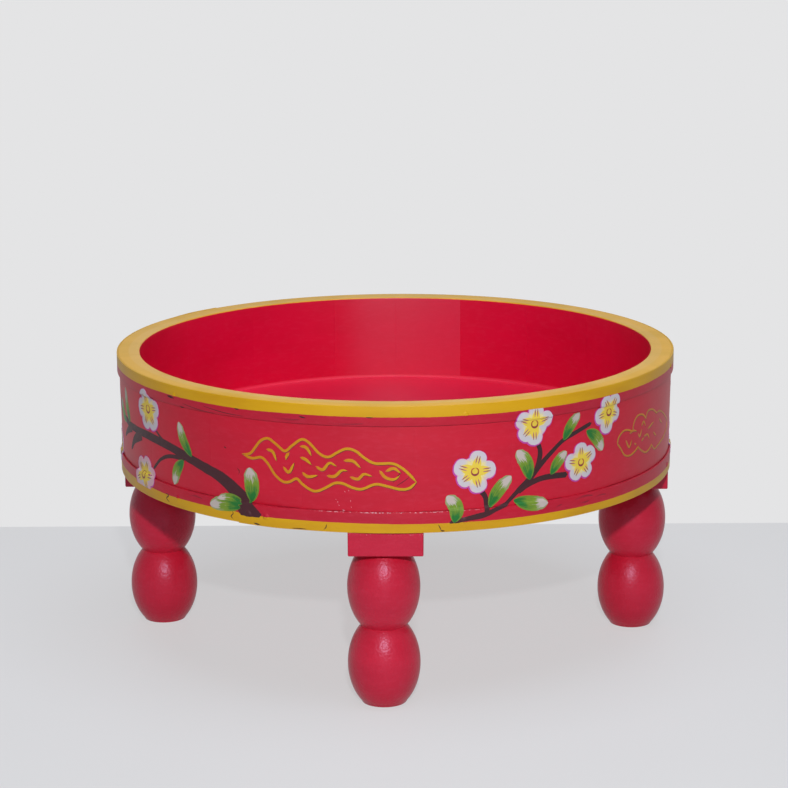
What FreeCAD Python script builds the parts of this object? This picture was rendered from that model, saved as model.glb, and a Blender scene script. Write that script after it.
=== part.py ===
import FreeCAD, Part
import math
import os

import Sketcher

# A round low table: a coopered tub of upright staves in two iron hoops, on four turned legs.
# The origin is on the ground under the tub's axis, the front is -Y and up is +Z.

# Driving dimensions in millimetres, angles in degrees.
driving_sizes = (
    ("table_radius", 300, "outside of the upper hoop, the widest place"),
    ("table_height", 313, "ground to rim"),
    ("wall_thickness", 22.4, "staves at the rim"),
    ("wall_taper", 2, "how much smaller the wall's radius is at its foot"),
    ("rim_rounding", 1.6, "inner top edge of the staves"),
    ("first_seam_azimuth", 105.1, "seam between the last stave and the first"),
    ("hoop_thickness", 2, "iron strap"),
    ("upper_hoop_width", 20, "iron strap"),
    ("lower_hoop_width", 21, "iron strap"),
    ("hoop_lap", 42, "length over which a strap covers its own end"),
    ("hoop_ramp", 31, "length over which a strap climbs onto its own end"),
    ("hoop_lap_gap", 0.3, "between the two layers of a lap"),
    ("upper_lap_azimuth", 138.2, "middle of the upper hoop's lap"),
    ("lower_lap_azimuth", -117.1, "middle of the lower hoop's lap"),
    ("rivet_radius", 1.7, "lap rivets"),
    ("rivet_head_radius", 3.6, "lap rivets"),
    ("rivet_head_height", 1.1, "lap rivets"),
    ("rivet_spacing", 20, "between the two rivets of a lap"),
    ("nail_radius", 1.2, "hoop nails"),
    ("nail_length", 17, "hoop nails, below the head"),
    ("nail_tip", 3, "hoop nails, pointed end"),
    ("nail_head_radius", 3, "hoop nails"),
    ("nail_head_height", 0.7, "hoop nails"),
    ("floor_depth", 97.5, "rim down to the floor"),
    ("floor_thickness", 15, "boards"),
    ("chime_depth", 14.7, "staves below the floor"),
    ("tongue_thickness", 9, "edge of the floor in the staves' groove"),
    ("floor_bevel", 12, "width of the bevel under the floor's edge"),
    ("croze_depth", 8, "groove in the staves"),
    ("croze_clearance", 0.3, "round the floor's edge, in the groove"),
    ("corner_bead", 4, "putty in the corner of floor and wall"),
    ("dowel_radius", 4, "between the boards"),
    ("dowel_length", 40, "between the boards"),
    ("head_side", 74.2, "square head of a leg"),
    ("head_drop", 25, "head below the wall"),
    ("head_arris", 1.5, "edges of the head"),
    ("head_offset", 2.7, "head's middle off the turned axis, round the tub"),
    ("head_setback", 2, "head's middle off the turned axis, towards the tub's axis"),
    ("head_turn", 1.9, "head's turn on the turned axis"),
    ("head_clearance", 0.3, "head's step inside the wall"),
    ("bead_radius", 36.5, "the two turned beads of a leg"),
    ("bead_overlap", 22.4, "how far the two beads run into each other"),
    ("foot_cut", 9.4, "cut off flat under the lower bead"),
    ("neck_cut", 10.2, "upper bead's top inside the head"),
    ("screw_radius", 2.25, "leg screws"),
    ("screw_head_radius", 4.5, "leg screws"),
    ("screw_head_height", 2.6, "leg screws"),
    ("screw_bite", 10, "leg screws in the floor"),
    ("screw_inset", 9, "leg screws from the sides of the head"),
    ("front_leg_azimuth", -92.8, "place round the tub"),
    ("right_leg_azimuth", -2.8, "place round the tub"),
    ("back_leg_azimuth", 92.2, "place round the tub"),
    ("left_leg_azimuth", 177.2, "place round the tub"),
)

# Width of each stave round the tub, clockwise from the first seam, as shares of the whole turn.
stave_shares = (
    15.2, 16.3, 18.1, 18.6, 20.4, 21.5, 19.8, 22.3, 20.4,
    18.9, 21.7, 20.1, 19.2, 22.4, 20.6, 20.4, 22.0, 22.1,
)
# Every third stave holds a nail of each hoop.
nailed_staves = range(0, len(stave_shares), 3)
# Boards of the floor, and where the dowels of a seam stand, as shares of the floor's radius.
floor_board_count = 4
dowel_place_shares = (-0.6, 0.0, 0.6)
full_turn = 360
quarter_turn = 90

# Levels and radii that several pieces share, worked out from the driving dimensions.
RIM_RADIUS = "(Sizes.table_radius - Sizes.hoop_thickness)"
FOOT_RADIUS = f"({RIM_RADIUS} - Sizes.wall_taper)"
INNER_RADIUS = f"({RIM_RADIUS} - Sizes.wall_thickness)"
FLOOR_TOP = "(Sizes.table_height - Sizes.floor_depth)"
FLOOR_UNDERSIDE = f"({FLOOR_TOP} - Sizes.floor_thickness)"
WALL_FOOT = f"({FLOOR_UNDERSIDE} - Sizes.chime_depth)"
TONGUE_UNDERSIDE = f"({FLOOR_TOP} - Sizes.tongue_thickness)"
FLOOR_RADIUS = f"({INNER_RADIUS} + Sizes.croze_depth - Sizes.croze_clearance)"
UPPER_HOOP_FOOT = "(Sizes.table_height - Sizes.upper_hoop_width)"
WALL_SLOPE = f"(Sizes.wall_taper / (Sizes.table_height - {WALL_FOOT}))"
LOWER_HOOP_RADIUS = f"({FOOT_RADIUS} + {WALL_SLOPE} * Sizes.lower_hoop_width)"
HEAD_UNDERSIDE = f"({WALL_FOOT} - Sizes.head_drop)"
LEG_CIRCLE = f"({FOOT_RADIUS} - Sizes.head_side / 2)"
BEAD_HALF_HEIGHT = (
    f"(({HEAD_UNDERSIDE} + Sizes.foot_cut + Sizes.neck_cut + Sizes.bead_overlap) / 4)"
)
LOWER_BEAD_CENTRE = f"({BEAD_HALF_HEIGHT} - Sizes.foot_cut)"
UPPER_BEAD_CENTRE = f"({HEAD_UNDERSIDE} + Sizes.neck_cut - {BEAD_HALF_HEIGHT})"

doc = FreeCAD.newDocument("LowTable")
sheet = doc.addObject("Spreadsheet::Sheet", "Sizes")
for row, (alias, number, note) in enumerate(driving_sizes, start=1):
    sheet.set(f"A{row}", note)
    sheet.set(f"B{row}", str(number))
    sheet.setAlias(f"B{row}", alias)
doc.recompute()

sub_parts = []


def size(expression):
    """The value in millimetres or degrees of an expression on the sheet."""
    found = sheet.evalExpression(expression)
    return float(getattr(found, "Value", found))


def keep(shape_object, label):
    """Marks an object of the document as a finished piece, under the name of its file."""
    shape_object.Label = label
    sub_parts.append(shape_object)
    return shape_object


def new_body(name):
    """An empty body with a name that says which piece it shapes."""
    return doc.addObject("PartDesign::Body", name)


def new_sketch(body, name, role):
    """A sketch on one of the body's own origin planes."""
    sketch = body.newObject("Sketcher::SketchObject", name)
    plane = next(f for f in body.Origin.OriginFeatures if f.Role == role)
    sketch.AttachmentSupport = (plane, [""])
    sketch.MapMode = "FlatFace"
    return sketch


def hold(sketch, expression, *constraint):
    """Adds a constraint whose size follows the sheet."""
    index = sketch.addConstraint(Sketcher.Constraint(*constraint, size(expression)))
    sketch.setExpression(f"Constraints[{index}]", expression)


def hold_point(sketch, geometry, end, across, up):
    """Ties one end of a line or arc to its distances across and up from the sketch's origin."""
    for kind, expression, axis in (("DistanceX", across, -2), ("DistanceY", up, -1)):
        if expression == "0":
            sketch.addConstraint(Sketcher.Constraint("PointOnObject", geometry, end, axis))
        elif size(expression) > 0:
            hold(sketch, expression, kind, -1, 1, geometry, end)
        else:
            hold(sketch, f"-({expression})", kind, geometry, end, -1, 1)


def draw_outline(sketch, corners):
    """A closed outline of straight lines through corners given as expressions."""
    points = [FreeCAD.Vector(size(across), size(up), 0) for across, up in corners]
    following = [(index + 1) % len(points) for index in range(len(points))]
    for index, after in enumerate(following):
        sketch.addGeometry(Part.LineSegment(points[index], points[after]), False)
    for index, after in enumerate(following):
        sketch.addConstraint(Sketcher.Constraint("Coincident", index, 2, after, 1))
    for index, (across, up) in enumerate(corners):
        hold_point(sketch, index, 1, across, up)


def revolve(body, sketch, angle):
    """Turns a profile about the sketch's upright axis."""
    turned = body.newObject("PartDesign::Revolution", f"{body.Name}_turned")
    turned.Profile = sketch
    turned.ReferenceAxis = (sketch, ["V_Axis"])
    turned.Angle = angle
    doc.recompute()
    return turned


def turned_body(name, corners):
    """A body of revolution about Z, from the corners of half its section."""
    body = new_body(name)
    profile = new_sketch(body, f"{name}_profile", "XZ_Plane")
    draw_outline(profile, corners)
    revolve(body, profile, full_turn)
    return body


def edges_where(feature, test):
    """Names of the feature's edges that pass a test."""
    return [f"Edge{number}" for number, edge in enumerate(feature.Shape.Edges, start=1) if test(edge)]


def copies(label, original, placements):
    """A group of separate solids: one copy of a piece at each place, given as an expression."""
    group = doc.addObject("Part::Compound", label)
    links = []
    for number, place in enumerate(placements, start=1):
        copy = doc.addObject("App::Link", f"{label}_{number}")
        copy.LinkedObject = original
        copy.setExpression("Placement", place)
        links.append(copy)
    group.Links = links
    doc.recompute()
    return keep(group, label)


def cut_for(label, blank, fastenings):
    """The finished piece: its blank with the holes that the fastenings made."""
    piece = doc.addObject("Part::Cut", label)
    piece.Base = blank
    piece.Tool = fastenings
    return keep(piece, label)


def bundle(name, pieces):
    """Several fastenings as one cutting tool."""
    tool = doc.addObject("Part::Compound", name)
    tool.Links = pieces
    doc.recompute()
    return tool


def radial_place(radius, azimuth, level):
    """An upright piece laid down so that its top points away from the tub's axis."""
    base = f"vector({radius} * cos({azimuth}); {radius} * sin({azimuth}); {level})"
    return f"placement({base}; rotation({azimuth}; {quarter_turn}; 0))"


def stave_turn(index):
    """Angle round the tub that one stave takes."""
    return full_turn * stave_shares[index] / sum(stave_shares)


def stave_start(index):
    """Azimuth of the stave's clockwise edge, as an expression."""
    passed = sum(stave_turn(earlier) for earlier in range(index + 1))
    return f"(Sizes.first_seam_azimuth - {passed})"


def stave_middle(index):
    """Azimuth of the stave's middle, as an expression."""
    return f"({stave_start(index)} + {stave_turn(index) / 2})"


# Nails through the hoops into the staves.
nail = turned_body(
    "nail",
    (
        ("0", "-Sizes.nail_length"),
        ("Sizes.nail_radius", "Sizes.nail_tip - Sizes.nail_length"),
        ("Sizes.nail_radius", "0"),
        ("Sizes.nail_head_radius", "0"),
        ("Sizes.nail_head_radius / 2", "Sizes.nail_head_height"),
        ("0", "Sizes.nail_head_height"),
    ),
)
UPPER_HOOP_MIDDLE = f"({UPPER_HOOP_FOOT} + Sizes.upper_hoop_width / 2)"
LOWER_HOOP_MIDDLE = f"({WALL_FOOT} + Sizes.lower_hoop_width / 2)"
LOWER_HOOP_OUTSIDE = f"({LOWER_HOOP_RADIUS} + Sizes.hoop_thickness)"
upper_nails = copies(
    "upper_hoop_nails",
    nail,
    [radial_place("Sizes.table_radius", stave_middle(i), UPPER_HOOP_MIDDLE) for i in nailed_staves],
)
lower_nails = copies(
    "lower_hoop_nails",
    nail,
    [radial_place(LOWER_HOOP_OUTSIDE, stave_middle(i), LOWER_HOOP_MIDDLE) for i in nailed_staves],
)

# Rivets through the two layers of each hoop's lap.
LAP_THICKNESS = "(2 * Sizes.hoop_thickness + Sizes.hoop_lap_gap)"
rivet = turned_body(
    "rivet",
    (
        ("0", "0"),
        ("Sizes.rivet_radius", "0"),
        ("Sizes.rivet_radius", LAP_THICKNESS),
        ("Sizes.rivet_head_radius", LAP_THICKNESS),
        ("Sizes.rivet_head_radius / 2", f"{LAP_THICKNESS} + Sizes.rivet_head_height"),
        ("0", f"{LAP_THICKNESS} + Sizes.rivet_head_height"),
    ),
)


def rivet_places(radius, lap_azimuth, level):
    """Places of the two rivets on either side of the lap's middle."""
    swing = f"(Sizes.rivet_spacing / 2 / {radius} * 180 / pi)"
    return [radial_place(radius, f"({lap_azimuth} {side} {swing})", level) for side in "+-"]


upper_rivets = copies(
    "upper_hoop_rivets",
    rivet,
    rivet_places(RIM_RADIUS, "Sizes.upper_lap_azimuth", UPPER_HOOP_MIDDLE),
)
lower_rivets = copies(
    "lower_hoop_rivets",
    rivet,
    rivet_places(LOWER_HOOP_RADIUS, "Sizes.lower_lap_azimuth", LOWER_HOOP_MIDDLE),
)


def lapped_strap(name, radius, width, foot, lap_azimuth):
    """A strap bent once round the wall, whose outer end climbs a ramp and covers the inner end.

    Seen from above, the inner end lies on the sketch's X axis, the ramp is before it and the
    lap after it.
    """
    body = new_body(name)
    sketch = new_sketch(body, f"{name}_outline", "XY_Plane")
    inside = radius
    outside = f"({radius} + Sizes.hoop_thickness)"
    lap_inside = f"({outside} + Sizes.hoop_lap_gap)"
    lap_outside = f"({lap_inside} + Sizes.hoop_thickness)"
    ramp_turn = f"(Sizes.hoop_ramp / {radius} * 180 / pi)"
    lap_turn = f"(Sizes.hoop_lap / {radius} * 180 / pi)"
    ramp = math.radians(size(ramp_turn))
    lap = math.radians(size(lap_turn))

    def on_circle(expression, angle):
        return FreeCAD.Vector(size(expression) * math.cos(angle), size(expression) * math.sin(angle), 0)

    def arc(expression, start, stop):
        circle = Part.Circle(FreeCAD.Vector(0, 0, 0), FreeCAD.Vector(0, 0, 1), size(expression))
        index = sketch.addGeometry(Part.ArcOfCircle(circle, start, stop), False)
        sketch.addConstraint(Sketcher.Constraint("Coincident", index, 3, -1, 1))
        hold(sketch, expression, "Radius", index)
        return index

    def line(start, stop, helper=False):
        return sketch.addGeometry(Part.LineSegment(start, stop), helper)

    def join(first, first_end, second, second_end):
        sketch.addConstraint(Sketcher.Constraint("Coincident", first, first_end, second, second_end))

    inner_face = arc(inside, ramp, 2 * math.pi)
    outer_face = arc(outside, ramp, 2 * math.pi)
    lap_inner_face = arc(lap_inside, -lap, 0)
    lap_outer_face = arc(lap_outside, -lap, 0)
    covered_end = line(on_circle(inside, 0), on_circle(outside, 0))
    outer_ramp = line(on_circle(outside, ramp), on_circle(lap_outside, 0))
    free_end = line(on_circle(lap_outside, -lap), on_circle(lap_inside, -lap))
    inner_ramp = line(on_circle(lap_inside, 0), on_circle(inside, ramp))
    join(inner_face, 2, covered_end, 1)
    join(covered_end, 2, outer_face, 2)
    join(outer_face, 1, outer_ramp, 1)
    join(outer_ramp, 2, lap_outer_face, 2)
    join(lap_outer_face, 1, free_end, 1)
    join(free_end, 2, lap_inner_face, 1)
    join(lap_inner_face, 2, inner_ramp, 1)
    join(inner_ramp, 2, inner_face, 1)
    for face in (inner_face, outer_face, lap_inner_face, lap_outer_face):
        sketch.addConstraint(Sketcher.Constraint("PointOnObject", face, 2, -1))
    for turn, faces, angle in (
        (ramp_turn, (inner_face, outer_face), ramp),
        (lap_turn, (lap_inner_face, lap_outer_face), -lap),
    ):
        spoke = line(FreeCAD.Vector(0, 0, 0), on_circle(lap_outside, angle), True)
        join(spoke, 1, -1, 1)
        hold(sketch, lap_outside, "Distance", spoke)
        first, second = (-1, spoke) if angle > 0 else (spoke, -1)
        index = sketch.addConstraint(Sketcher.Constraint("Angle", first, 1, second, 1, abs(angle)))
        sketch.setExpression(f"Constraints[{index}]", f"{turn} * 1 deg")
        for face in faces:
            sketch.addConstraint(Sketcher.Constraint("PointOnObject", face, 1, spoke))
    strap = body.newObject("PartDesign::Pad", f"{name}_pad")
    strap.Profile = sketch
    strap.setExpression("Length", width)
    body.setExpression("Placement.Base.z", foot)
    body.Placement.Rotation.Axis = FreeCAD.Vector(0, 0, 1)
    body.setExpression("Placement.Rotation.Angle", f"{lap_azimuth} + {lap_turn} / 2")
    doc.recompute()
    return body


upper_strap = lapped_strap(
    "upper_strap", RIM_RADIUS, "Sizes.upper_hoop_width", UPPER_HOOP_FOOT, "Sizes.upper_lap_azimuth"
)
lower_strap = lapped_strap(
    "lower_strap", LOWER_HOOP_RADIUS, "Sizes.lower_hoop_width", WALL_FOOT, "Sizes.lower_lap_azimuth"
)
cut_for("upper_hoop", upper_strap, bundle("upper_hoop_fastenings", [upper_nails, upper_rivets]))
cut_for("lower_hoop", lower_strap, bundle("lower_hoop_fastenings", [lower_nails, lower_rivets]))

# Staves: one section with the groove for the floor, turned through each stave's own angle.
stave_section = (
    (INNER_RADIUS, WALL_FOOT),
    (INNER_RADIUS, f"{TONGUE_UNDERSIDE} - Sizes.croze_clearance"),
    (f"{INNER_RADIUS} + Sizes.croze_depth", f"{TONGUE_UNDERSIDE} - Sizes.croze_clearance"),
    (f"{INNER_RADIUS} + Sizes.croze_depth", FLOOR_TOP),
    (INNER_RADIUS, FLOOR_TOP),
    (INNER_RADIUS, "Sizes.table_height"),
    (RIM_RADIUS, "Sizes.table_height"),
    (FOOT_RADIUS, WALL_FOOT),
)
hoop_nails = bundle("hoop_nails", [upper_nails, lower_nails])


def is_inner_rim(edge):
    """True for the stave's curved edge at the top of its inner face."""
    middle = edge.valueAt((edge.FirstParameter + edge.LastParameter) / 2)
    reach = math.hypot(middle.x, middle.y)
    at_rim = abs(middle.z - size("Sizes.table_height")) < edge_tolerance
    return at_rim and abs(reach - size(INNER_RADIUS)) < edge_tolerance


edge_tolerance = size("Sizes.hoop_thickness") / 100
for index in range(len(stave_shares)):
    name = f"stave_{index + 1:02d}"
    blank = new_body(f"{name}_blank")
    section = new_sketch(blank, f"{name}_section", "XZ_Plane")
    draw_outline(section, stave_section)
    turned = revolve(blank, section, stave_turn(index))
    rounding = blank.newObject("PartDesign::Fillet", f"{name}_rounding")
    rounding.Base = (turned, edges_where(turned, is_inner_rim))
    rounding.setExpression("Radius", "Sizes.rim_rounding")
    blank.Placement.Rotation.Axis = FreeCAD.Vector(0, 0, 1)
    blank.setExpression("Placement.Rotation.Angle", stave_start(index))
    doc.recompute()
    cut_for(name, blank, hoop_nails)

# Screws up through the corners of the leg heads that lie under the floor.
SCREW_LENGTH = f"({FLOOR_UNDERSIDE} - {HEAD_UNDERSIDE} + Sizes.screw_bite)"
screw = turned_body(
    "screw",
    (
        ("0", "0"),
        ("Sizes.screw_head_radius", "0"),
        ("Sizes.screw_radius", "Sizes.screw_head_height"),
        ("Sizes.screw_radius", f"{SCREW_LENGTH} - Sizes.screw_radius"),
        ("0", SCREW_LENGTH),
    ),
)
leg_names = ("front", "right", "back", "left")
SCREW_REACH = "(Sizes.head_side / 2 - Sizes.screw_inset)"


def screw_place(leg, side):
    """One screw's place: a leg's circle, its azimuth, then the corner of its turned head."""
    azimuth = f"Sizes.{leg}_leg_azimuth"
    leg_foot = f"vector({LEG_CIRCLE} * cos({azimuth}); {LEG_CIRCLE} * sin({azimuth}); 0)"
    head_foot = f"vector(-Sizes.head_setback; Sizes.head_offset; {HEAD_UNDERSIDE})"
    leg_place = f"placement({leg_foot}; rotation({azimuth}; 0; 0))"
    head_place = f"placement({head_foot}; rotation(Sizes.head_turn; 0; 0))"
    corner_place = f"placement(vector(-{SCREW_REACH}; {side}{SCREW_REACH}; 0); rotation(0; 0; 0))"
    return f"{leg_place} * {head_place} * {corner_place}"


leg_screws = copies("leg_screws", screw, [screw_place(leg, side) for leg in leg_names for side in "+-"])


def bead_arc(sketch, centre, start, stop):
    """An arc of the upright ellipse of one turned bead, from one level up to another."""
    middle = size(centre)
    half = size(BEAD_HALF_HEIGHT)
    ellipse = Part.Ellipse(
        FreeCAD.Vector(0, middle - half, 0),
        FreeCAD.Vector(size("Sizes.bead_radius"), middle, 0),
        FreeCAD.Vector(0, middle, 0),
    )
    start_turn = math.acos((middle - size(start)) / half)
    stop_turn = math.acos(max(-1, (middle - size(stop)) / half))
    return sketch.addGeometry(Part.ArcOfEllipse(ellipse, start_turn, stop_turn), False)


def hold_bead(sketch, arc, centre):
    """Ties a bead's ellipse to the leg's axis, its centre level, its height and its radius."""
    first_helper = sketch.GeometryCount
    sketch.exposeInternalGeometry(arc)
    long_axis, short_axis = first_helper, first_helper + 1
    hold_point(sketch, arc, 3, "0", centre)
    sketch.addConstraint(Sketcher.Constraint("PointOnObject", long_axis, 1, -2))
    hold(sketch, f"2 * {BEAD_HALF_HEIGHT}", "Distance", long_axis)
    hold(sketch, "2 * Sizes.bead_radius", "Distance", short_axis)


def turned_leg(name, azimuth):
    """A leg with two egg-shaped beads under a square head, notched to stand inside the wall."""
    body = new_body(name)
    profile = new_sketch(body, f"{name}_profile", "XZ_Plane")
    waist = f"(({LOWER_BEAD_CENTRE} + {UPPER_BEAD_CENTRE}) / 2)"
    top = f"({UPPER_BEAD_CENTRE} + {BEAD_HALF_HEIGHT})"
    lower = bead_arc(profile, LOWER_BEAD_CENTRE, "0", waist)
    upper = bead_arc(profile, UPPER_BEAD_CENTRE, waist, top)
    foot_radius = profile.Geometry[lower].StartPoint.x
    ground = FreeCAD.Vector(0, 0, 0)
    axis = profile.addGeometry(Part.LineSegment(FreeCAD.Vector(0, size(top), 0), ground), False)
    foot = profile.addGeometry(Part.LineSegment(ground, FreeCAD.Vector(foot_radius, 0, 0)), False)
    hold_bead(profile, lower, LOWER_BEAD_CENTRE)
    hold_bead(profile, upper, UPPER_BEAD_CENTRE)
    profile.addConstraint(Sketcher.Constraint("Coincident", lower, 2, upper, 1))
    profile.addConstraint(Sketcher.Constraint("PointOnObject", upper, 2, -2))
    profile.addConstraint(Sketcher.Constraint("Coincident", upper, 2, axis, 1))
    profile.addConstraint(Sketcher.Constraint("Coincident", axis, 2, -1, 1))
    profile.addConstraint(Sketcher.Constraint("Coincident", foot, 1, -1, 1))
    profile.addConstraint(Sketcher.Constraint("Coincident", foot, 2, lower, 1))
    profile.addConstraint(Sketcher.Constraint("PointOnObject", lower, 1, -1))
    revolve(body, profile, full_turn)

    square = new_sketch(body, f"{name}_square", "XY_Plane")
    square.setExpression("AttachmentOffset.Base.x", "-Sizes.head_setback")
    square.setExpression("AttachmentOffset.Base.y", "Sizes.head_offset")
    square.setExpression("AttachmentOffset.Base.z", HEAD_UNDERSIDE)
    square.setExpression("AttachmentOffset.Rotation.Angle", "Sizes.head_turn")
    half = "Sizes.head_side / 2"
    draw_outline(square, ((half, half), (f"-{half}", half), (f"-{half}", f"-{half}"), (half, f"-{half}")))
    head = body.newObject("PartDesign::Pad", f"{name}_head")
    head.Profile = square
    head.setExpression("Length", f"{FLOOR_UNDERSIDE} - {HEAD_UNDERSIDE}")
    doc.recompute()

    def is_head_arris(edge):
        low = min(vertex.Point.z for vertex in edge.Vertexes)
        straight = isinstance(edge.Curve, Part.Line)
        return straight and abs(low - size(HEAD_UNDERSIDE)) < edge_tolerance

    arris = body.newObject("PartDesign::Chamfer", f"{name}_arris")
    arris.Base = (head, edges_where(head, is_head_arris))
    arris.setExpression("Size", "Sizes.head_arris")
    doc.recompute()

    notch = new_sketch(body, f"{name}_notch", "XY_Plane")
    notch.setExpression("AttachmentOffset.Base.z", FLOOR_UNDERSIDE)
    tub_axis = FreeCAD.Vector(-size(LEG_CIRCLE), 0, 0)
    for radius in (f"{LEG_CIRCLE} + Sizes.head_side", f"{INNER_RADIUS} - Sizes.head_clearance"):
        ring = notch.addGeometry(Part.Circle(tub_axis, FreeCAD.Vector(0, 0, 1), size(radius)), False)
        hold_point(notch, ring, 3, f"-{LEG_CIRCLE}", "0")
        hold(notch, radius, "Radius", ring)
    pocket = body.newObject("PartDesign::Pocket", f"{name}_pocket")
    pocket.Profile = notch
    pocket.setExpression("Length", "Sizes.chime_depth")
    body.Placement.Rotation.Axis = FreeCAD.Vector(0, 0, 1)
    body.setExpression("Placement.Rotation.Angle", azimuth)
    body.setExpression("Placement.Base.x", f"{LEG_CIRCLE} * cos({azimuth})")
    body.setExpression("Placement.Base.y", f"{LEG_CIRCLE} * sin({azimuth})")
    doc.recompute()
    if not pocket.Shape.Volume < arris.Shape.Volume:
        raise RuntimeError(f"the notch of {name} cuts nothing")
    return body


for leg in leg_names:
    blank = turned_leg(f"{leg}_blank", f"Sizes.{leg}_leg_azimuth")
    cut_for(f"{leg}_leg", blank, leg_screws)

# The floor: one disc with a bevelled tongue, sawn into boards that dowels join edge to edge.
BEVEL_RADIUS = f"({INNER_RADIUS} - Sizes.croze_clearance)"
disc = turned_body(
    "floor_disc",
    (
        ("0", FLOOR_TOP),
        ("0", FLOOR_UNDERSIDE),
        (f"{BEVEL_RADIUS} - Sizes.floor_bevel", FLOOR_UNDERSIDE),
        (BEVEL_RADIUS, TONGUE_UNDERSIDE),
        (FLOOR_RADIUS, TONGUE_UNDERSIDE),
        (FLOOR_RADIUS, FLOOR_TOP),
    ),
)
BOARD_WIDTH = f"(2 * {FLOOR_RADIUS} / {floor_board_count})"
dowel = turned_body(
    "dowel",
    (
        ("0", "-Sizes.dowel_length / 2"),
        ("Sizes.dowel_radius", "-Sizes.dowel_length / 2"),
        ("Sizes.dowel_radius", "Sizes.dowel_length / 2"),
        ("0", "Sizes.dowel_length / 2"),
    ),
)
dowel_places = []
for seam in range(1, floor_board_count):
    for share in dowel_place_shares:
        seam_place = f"{BOARD_WIDTH} * {seam} - {FLOOR_RADIUS}"
        level = f"{FLOOR_TOP} - Sizes.floor_thickness / 2"
        middle = f"vector({FLOOR_RADIUS} * {share}; {seam_place}; {level})"
        dowel_places.append(f"placement({middle}; rotation(0; 0; {quarter_turn}))")
floor_dowels = copies("floor_dowels", dowel, dowel_places)
floor_fastenings = bundle("floor_fastenings", [floor_dowels, leg_screws])
for index in range(floor_board_count):
    name = f"floor_board_{index + 1}"
    plank = doc.addObject("Part::Box", f"{name}_plank")
    plank.setExpression("Length", f"2 * {FLOOR_RADIUS}")
    plank.setExpression("Width", BOARD_WIDTH)
    plank.setExpression("Height", "Sizes.floor_thickness")
    plank.setExpression("Placement.Base.x", f"-{FLOOR_RADIUS}")
    plank.setExpression("Placement.Base.y", f"{BOARD_WIDTH} * {index} - {FLOOR_RADIUS}")
    plank.setExpression("Placement.Base.z", FLOOR_UNDERSIDE)
    sawn = doc.addObject("Part::Common", f"{name}_sawn")
    sawn.Base = disc
    sawn.Tool = plank
    cut_for(name, sawn, floor_fastenings)

# Putty pressed into the corner of floor and wall.
keep(
    turned_body(
        "corner_bead",
        (
            (INNER_RADIUS, FLOOR_TOP),
            (INNER_RADIUS, f"{FLOOR_TOP} + Sizes.corner_bead"),
            (f"{INNER_RADIUS} - Sizes.corner_bead", FLOOR_TOP),
        ),
    ),
    "corner_bead",
)

doc.recompute()
for made in doc.Objects:
    if "Invalid" in made.State or "Error" in made.State:
        raise RuntimeError(f"{made.Name} failed: {made.State}")
for piece in sub_parts:
    if piece.Shape.isNull() or not piece.Shape.isValid() or not piece.Shape.Solids:
        raise RuntimeError(f"{piece.Label} has no valid shape")

os.makedirs("parts", exist_ok=True)
for piece in sub_parts:
    piece.Shape.exportStep(f"parts/{piece.Label}.step")
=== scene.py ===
"""Dresses the round low table: smooth painted staves, hoops and legs, and the sprays painted on its wall.

Places on the wall are given as (along, up) in millimetres: along is measured round the wall from the
front towards the right at the rim's radius, up from the foot of the wall.
"""

from __future__ import annotations

import logging
import math
from dataclasses import dataclass, field
from enum import Enum
from typing import Callable, Iterable, Optional, Sequence

import bpy
import numpy as np
from mathutils import Matrix, Vector


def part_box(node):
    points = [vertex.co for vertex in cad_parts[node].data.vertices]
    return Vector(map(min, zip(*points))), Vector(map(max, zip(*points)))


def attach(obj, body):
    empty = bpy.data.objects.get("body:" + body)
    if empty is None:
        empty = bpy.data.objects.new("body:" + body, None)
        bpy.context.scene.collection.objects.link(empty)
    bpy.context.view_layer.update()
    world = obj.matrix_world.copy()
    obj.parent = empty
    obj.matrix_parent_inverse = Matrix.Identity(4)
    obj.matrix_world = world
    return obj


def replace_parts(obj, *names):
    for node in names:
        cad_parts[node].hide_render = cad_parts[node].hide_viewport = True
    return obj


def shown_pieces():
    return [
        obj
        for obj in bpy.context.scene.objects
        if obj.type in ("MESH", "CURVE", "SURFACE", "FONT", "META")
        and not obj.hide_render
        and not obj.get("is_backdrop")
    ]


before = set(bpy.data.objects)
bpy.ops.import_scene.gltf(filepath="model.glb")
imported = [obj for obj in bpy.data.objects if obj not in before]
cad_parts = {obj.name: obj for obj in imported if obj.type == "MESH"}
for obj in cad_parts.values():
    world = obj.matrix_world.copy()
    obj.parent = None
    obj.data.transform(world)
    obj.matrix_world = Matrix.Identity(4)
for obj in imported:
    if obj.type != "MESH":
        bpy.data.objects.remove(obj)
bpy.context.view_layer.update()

LOG = logging.getLogger("low_table")
MM = 0.001
TURN = 2 * math.pi
BODY = "root"

# The middle value of a noise, V along the middle of a stroke, and what keeps divisions off zero
NOISE_MIDDLE = 0.5
MID_STROKE = 0.25
TINY = 1e-9

Colour = tuple[float, float, float, float]
Place = tuple[float, float]


# Meshes


@dataclass
class Shell:
    """One closed surface: points in metres, four-sided faces, flat end faces and a place in the UV map."""

    points: np.ndarray
    quads: np.ndarray
    caps: list[np.ndarray]
    uv: np.ndarray

    def volume(self) -> float:
        """Signed volume in cubic metres: the sum of the tetrahedra from the middle to each triangle."""
        placed = self.points - self.points.mean(axis=0)
        triangles = [self.quads[:, [0, 1, 2]], self.quads[:, [0, 2, 3]]]
        for cap in self.caps:
            fan = np.stack([np.full(len(cap) - 2, cap[0]), cap[1:-1], cap[2:]], axis=1)
            triangles.append(fan)
        a, b, c = (placed[np.concatenate(triangles)[:, corner]] for corner in range(3))
        return float(np.einsum("ij,ij->", a, np.cross(b, c)) / 6)

    def facing_out(self) -> "Shell":
        """The same surface with every face pointing outwards."""
        if self.volume() >= 0:
            return self
        return Shell(self.points, self.quads[:, ::-1], [cap[::-1] for cap in self.caps], self.uv)


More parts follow.
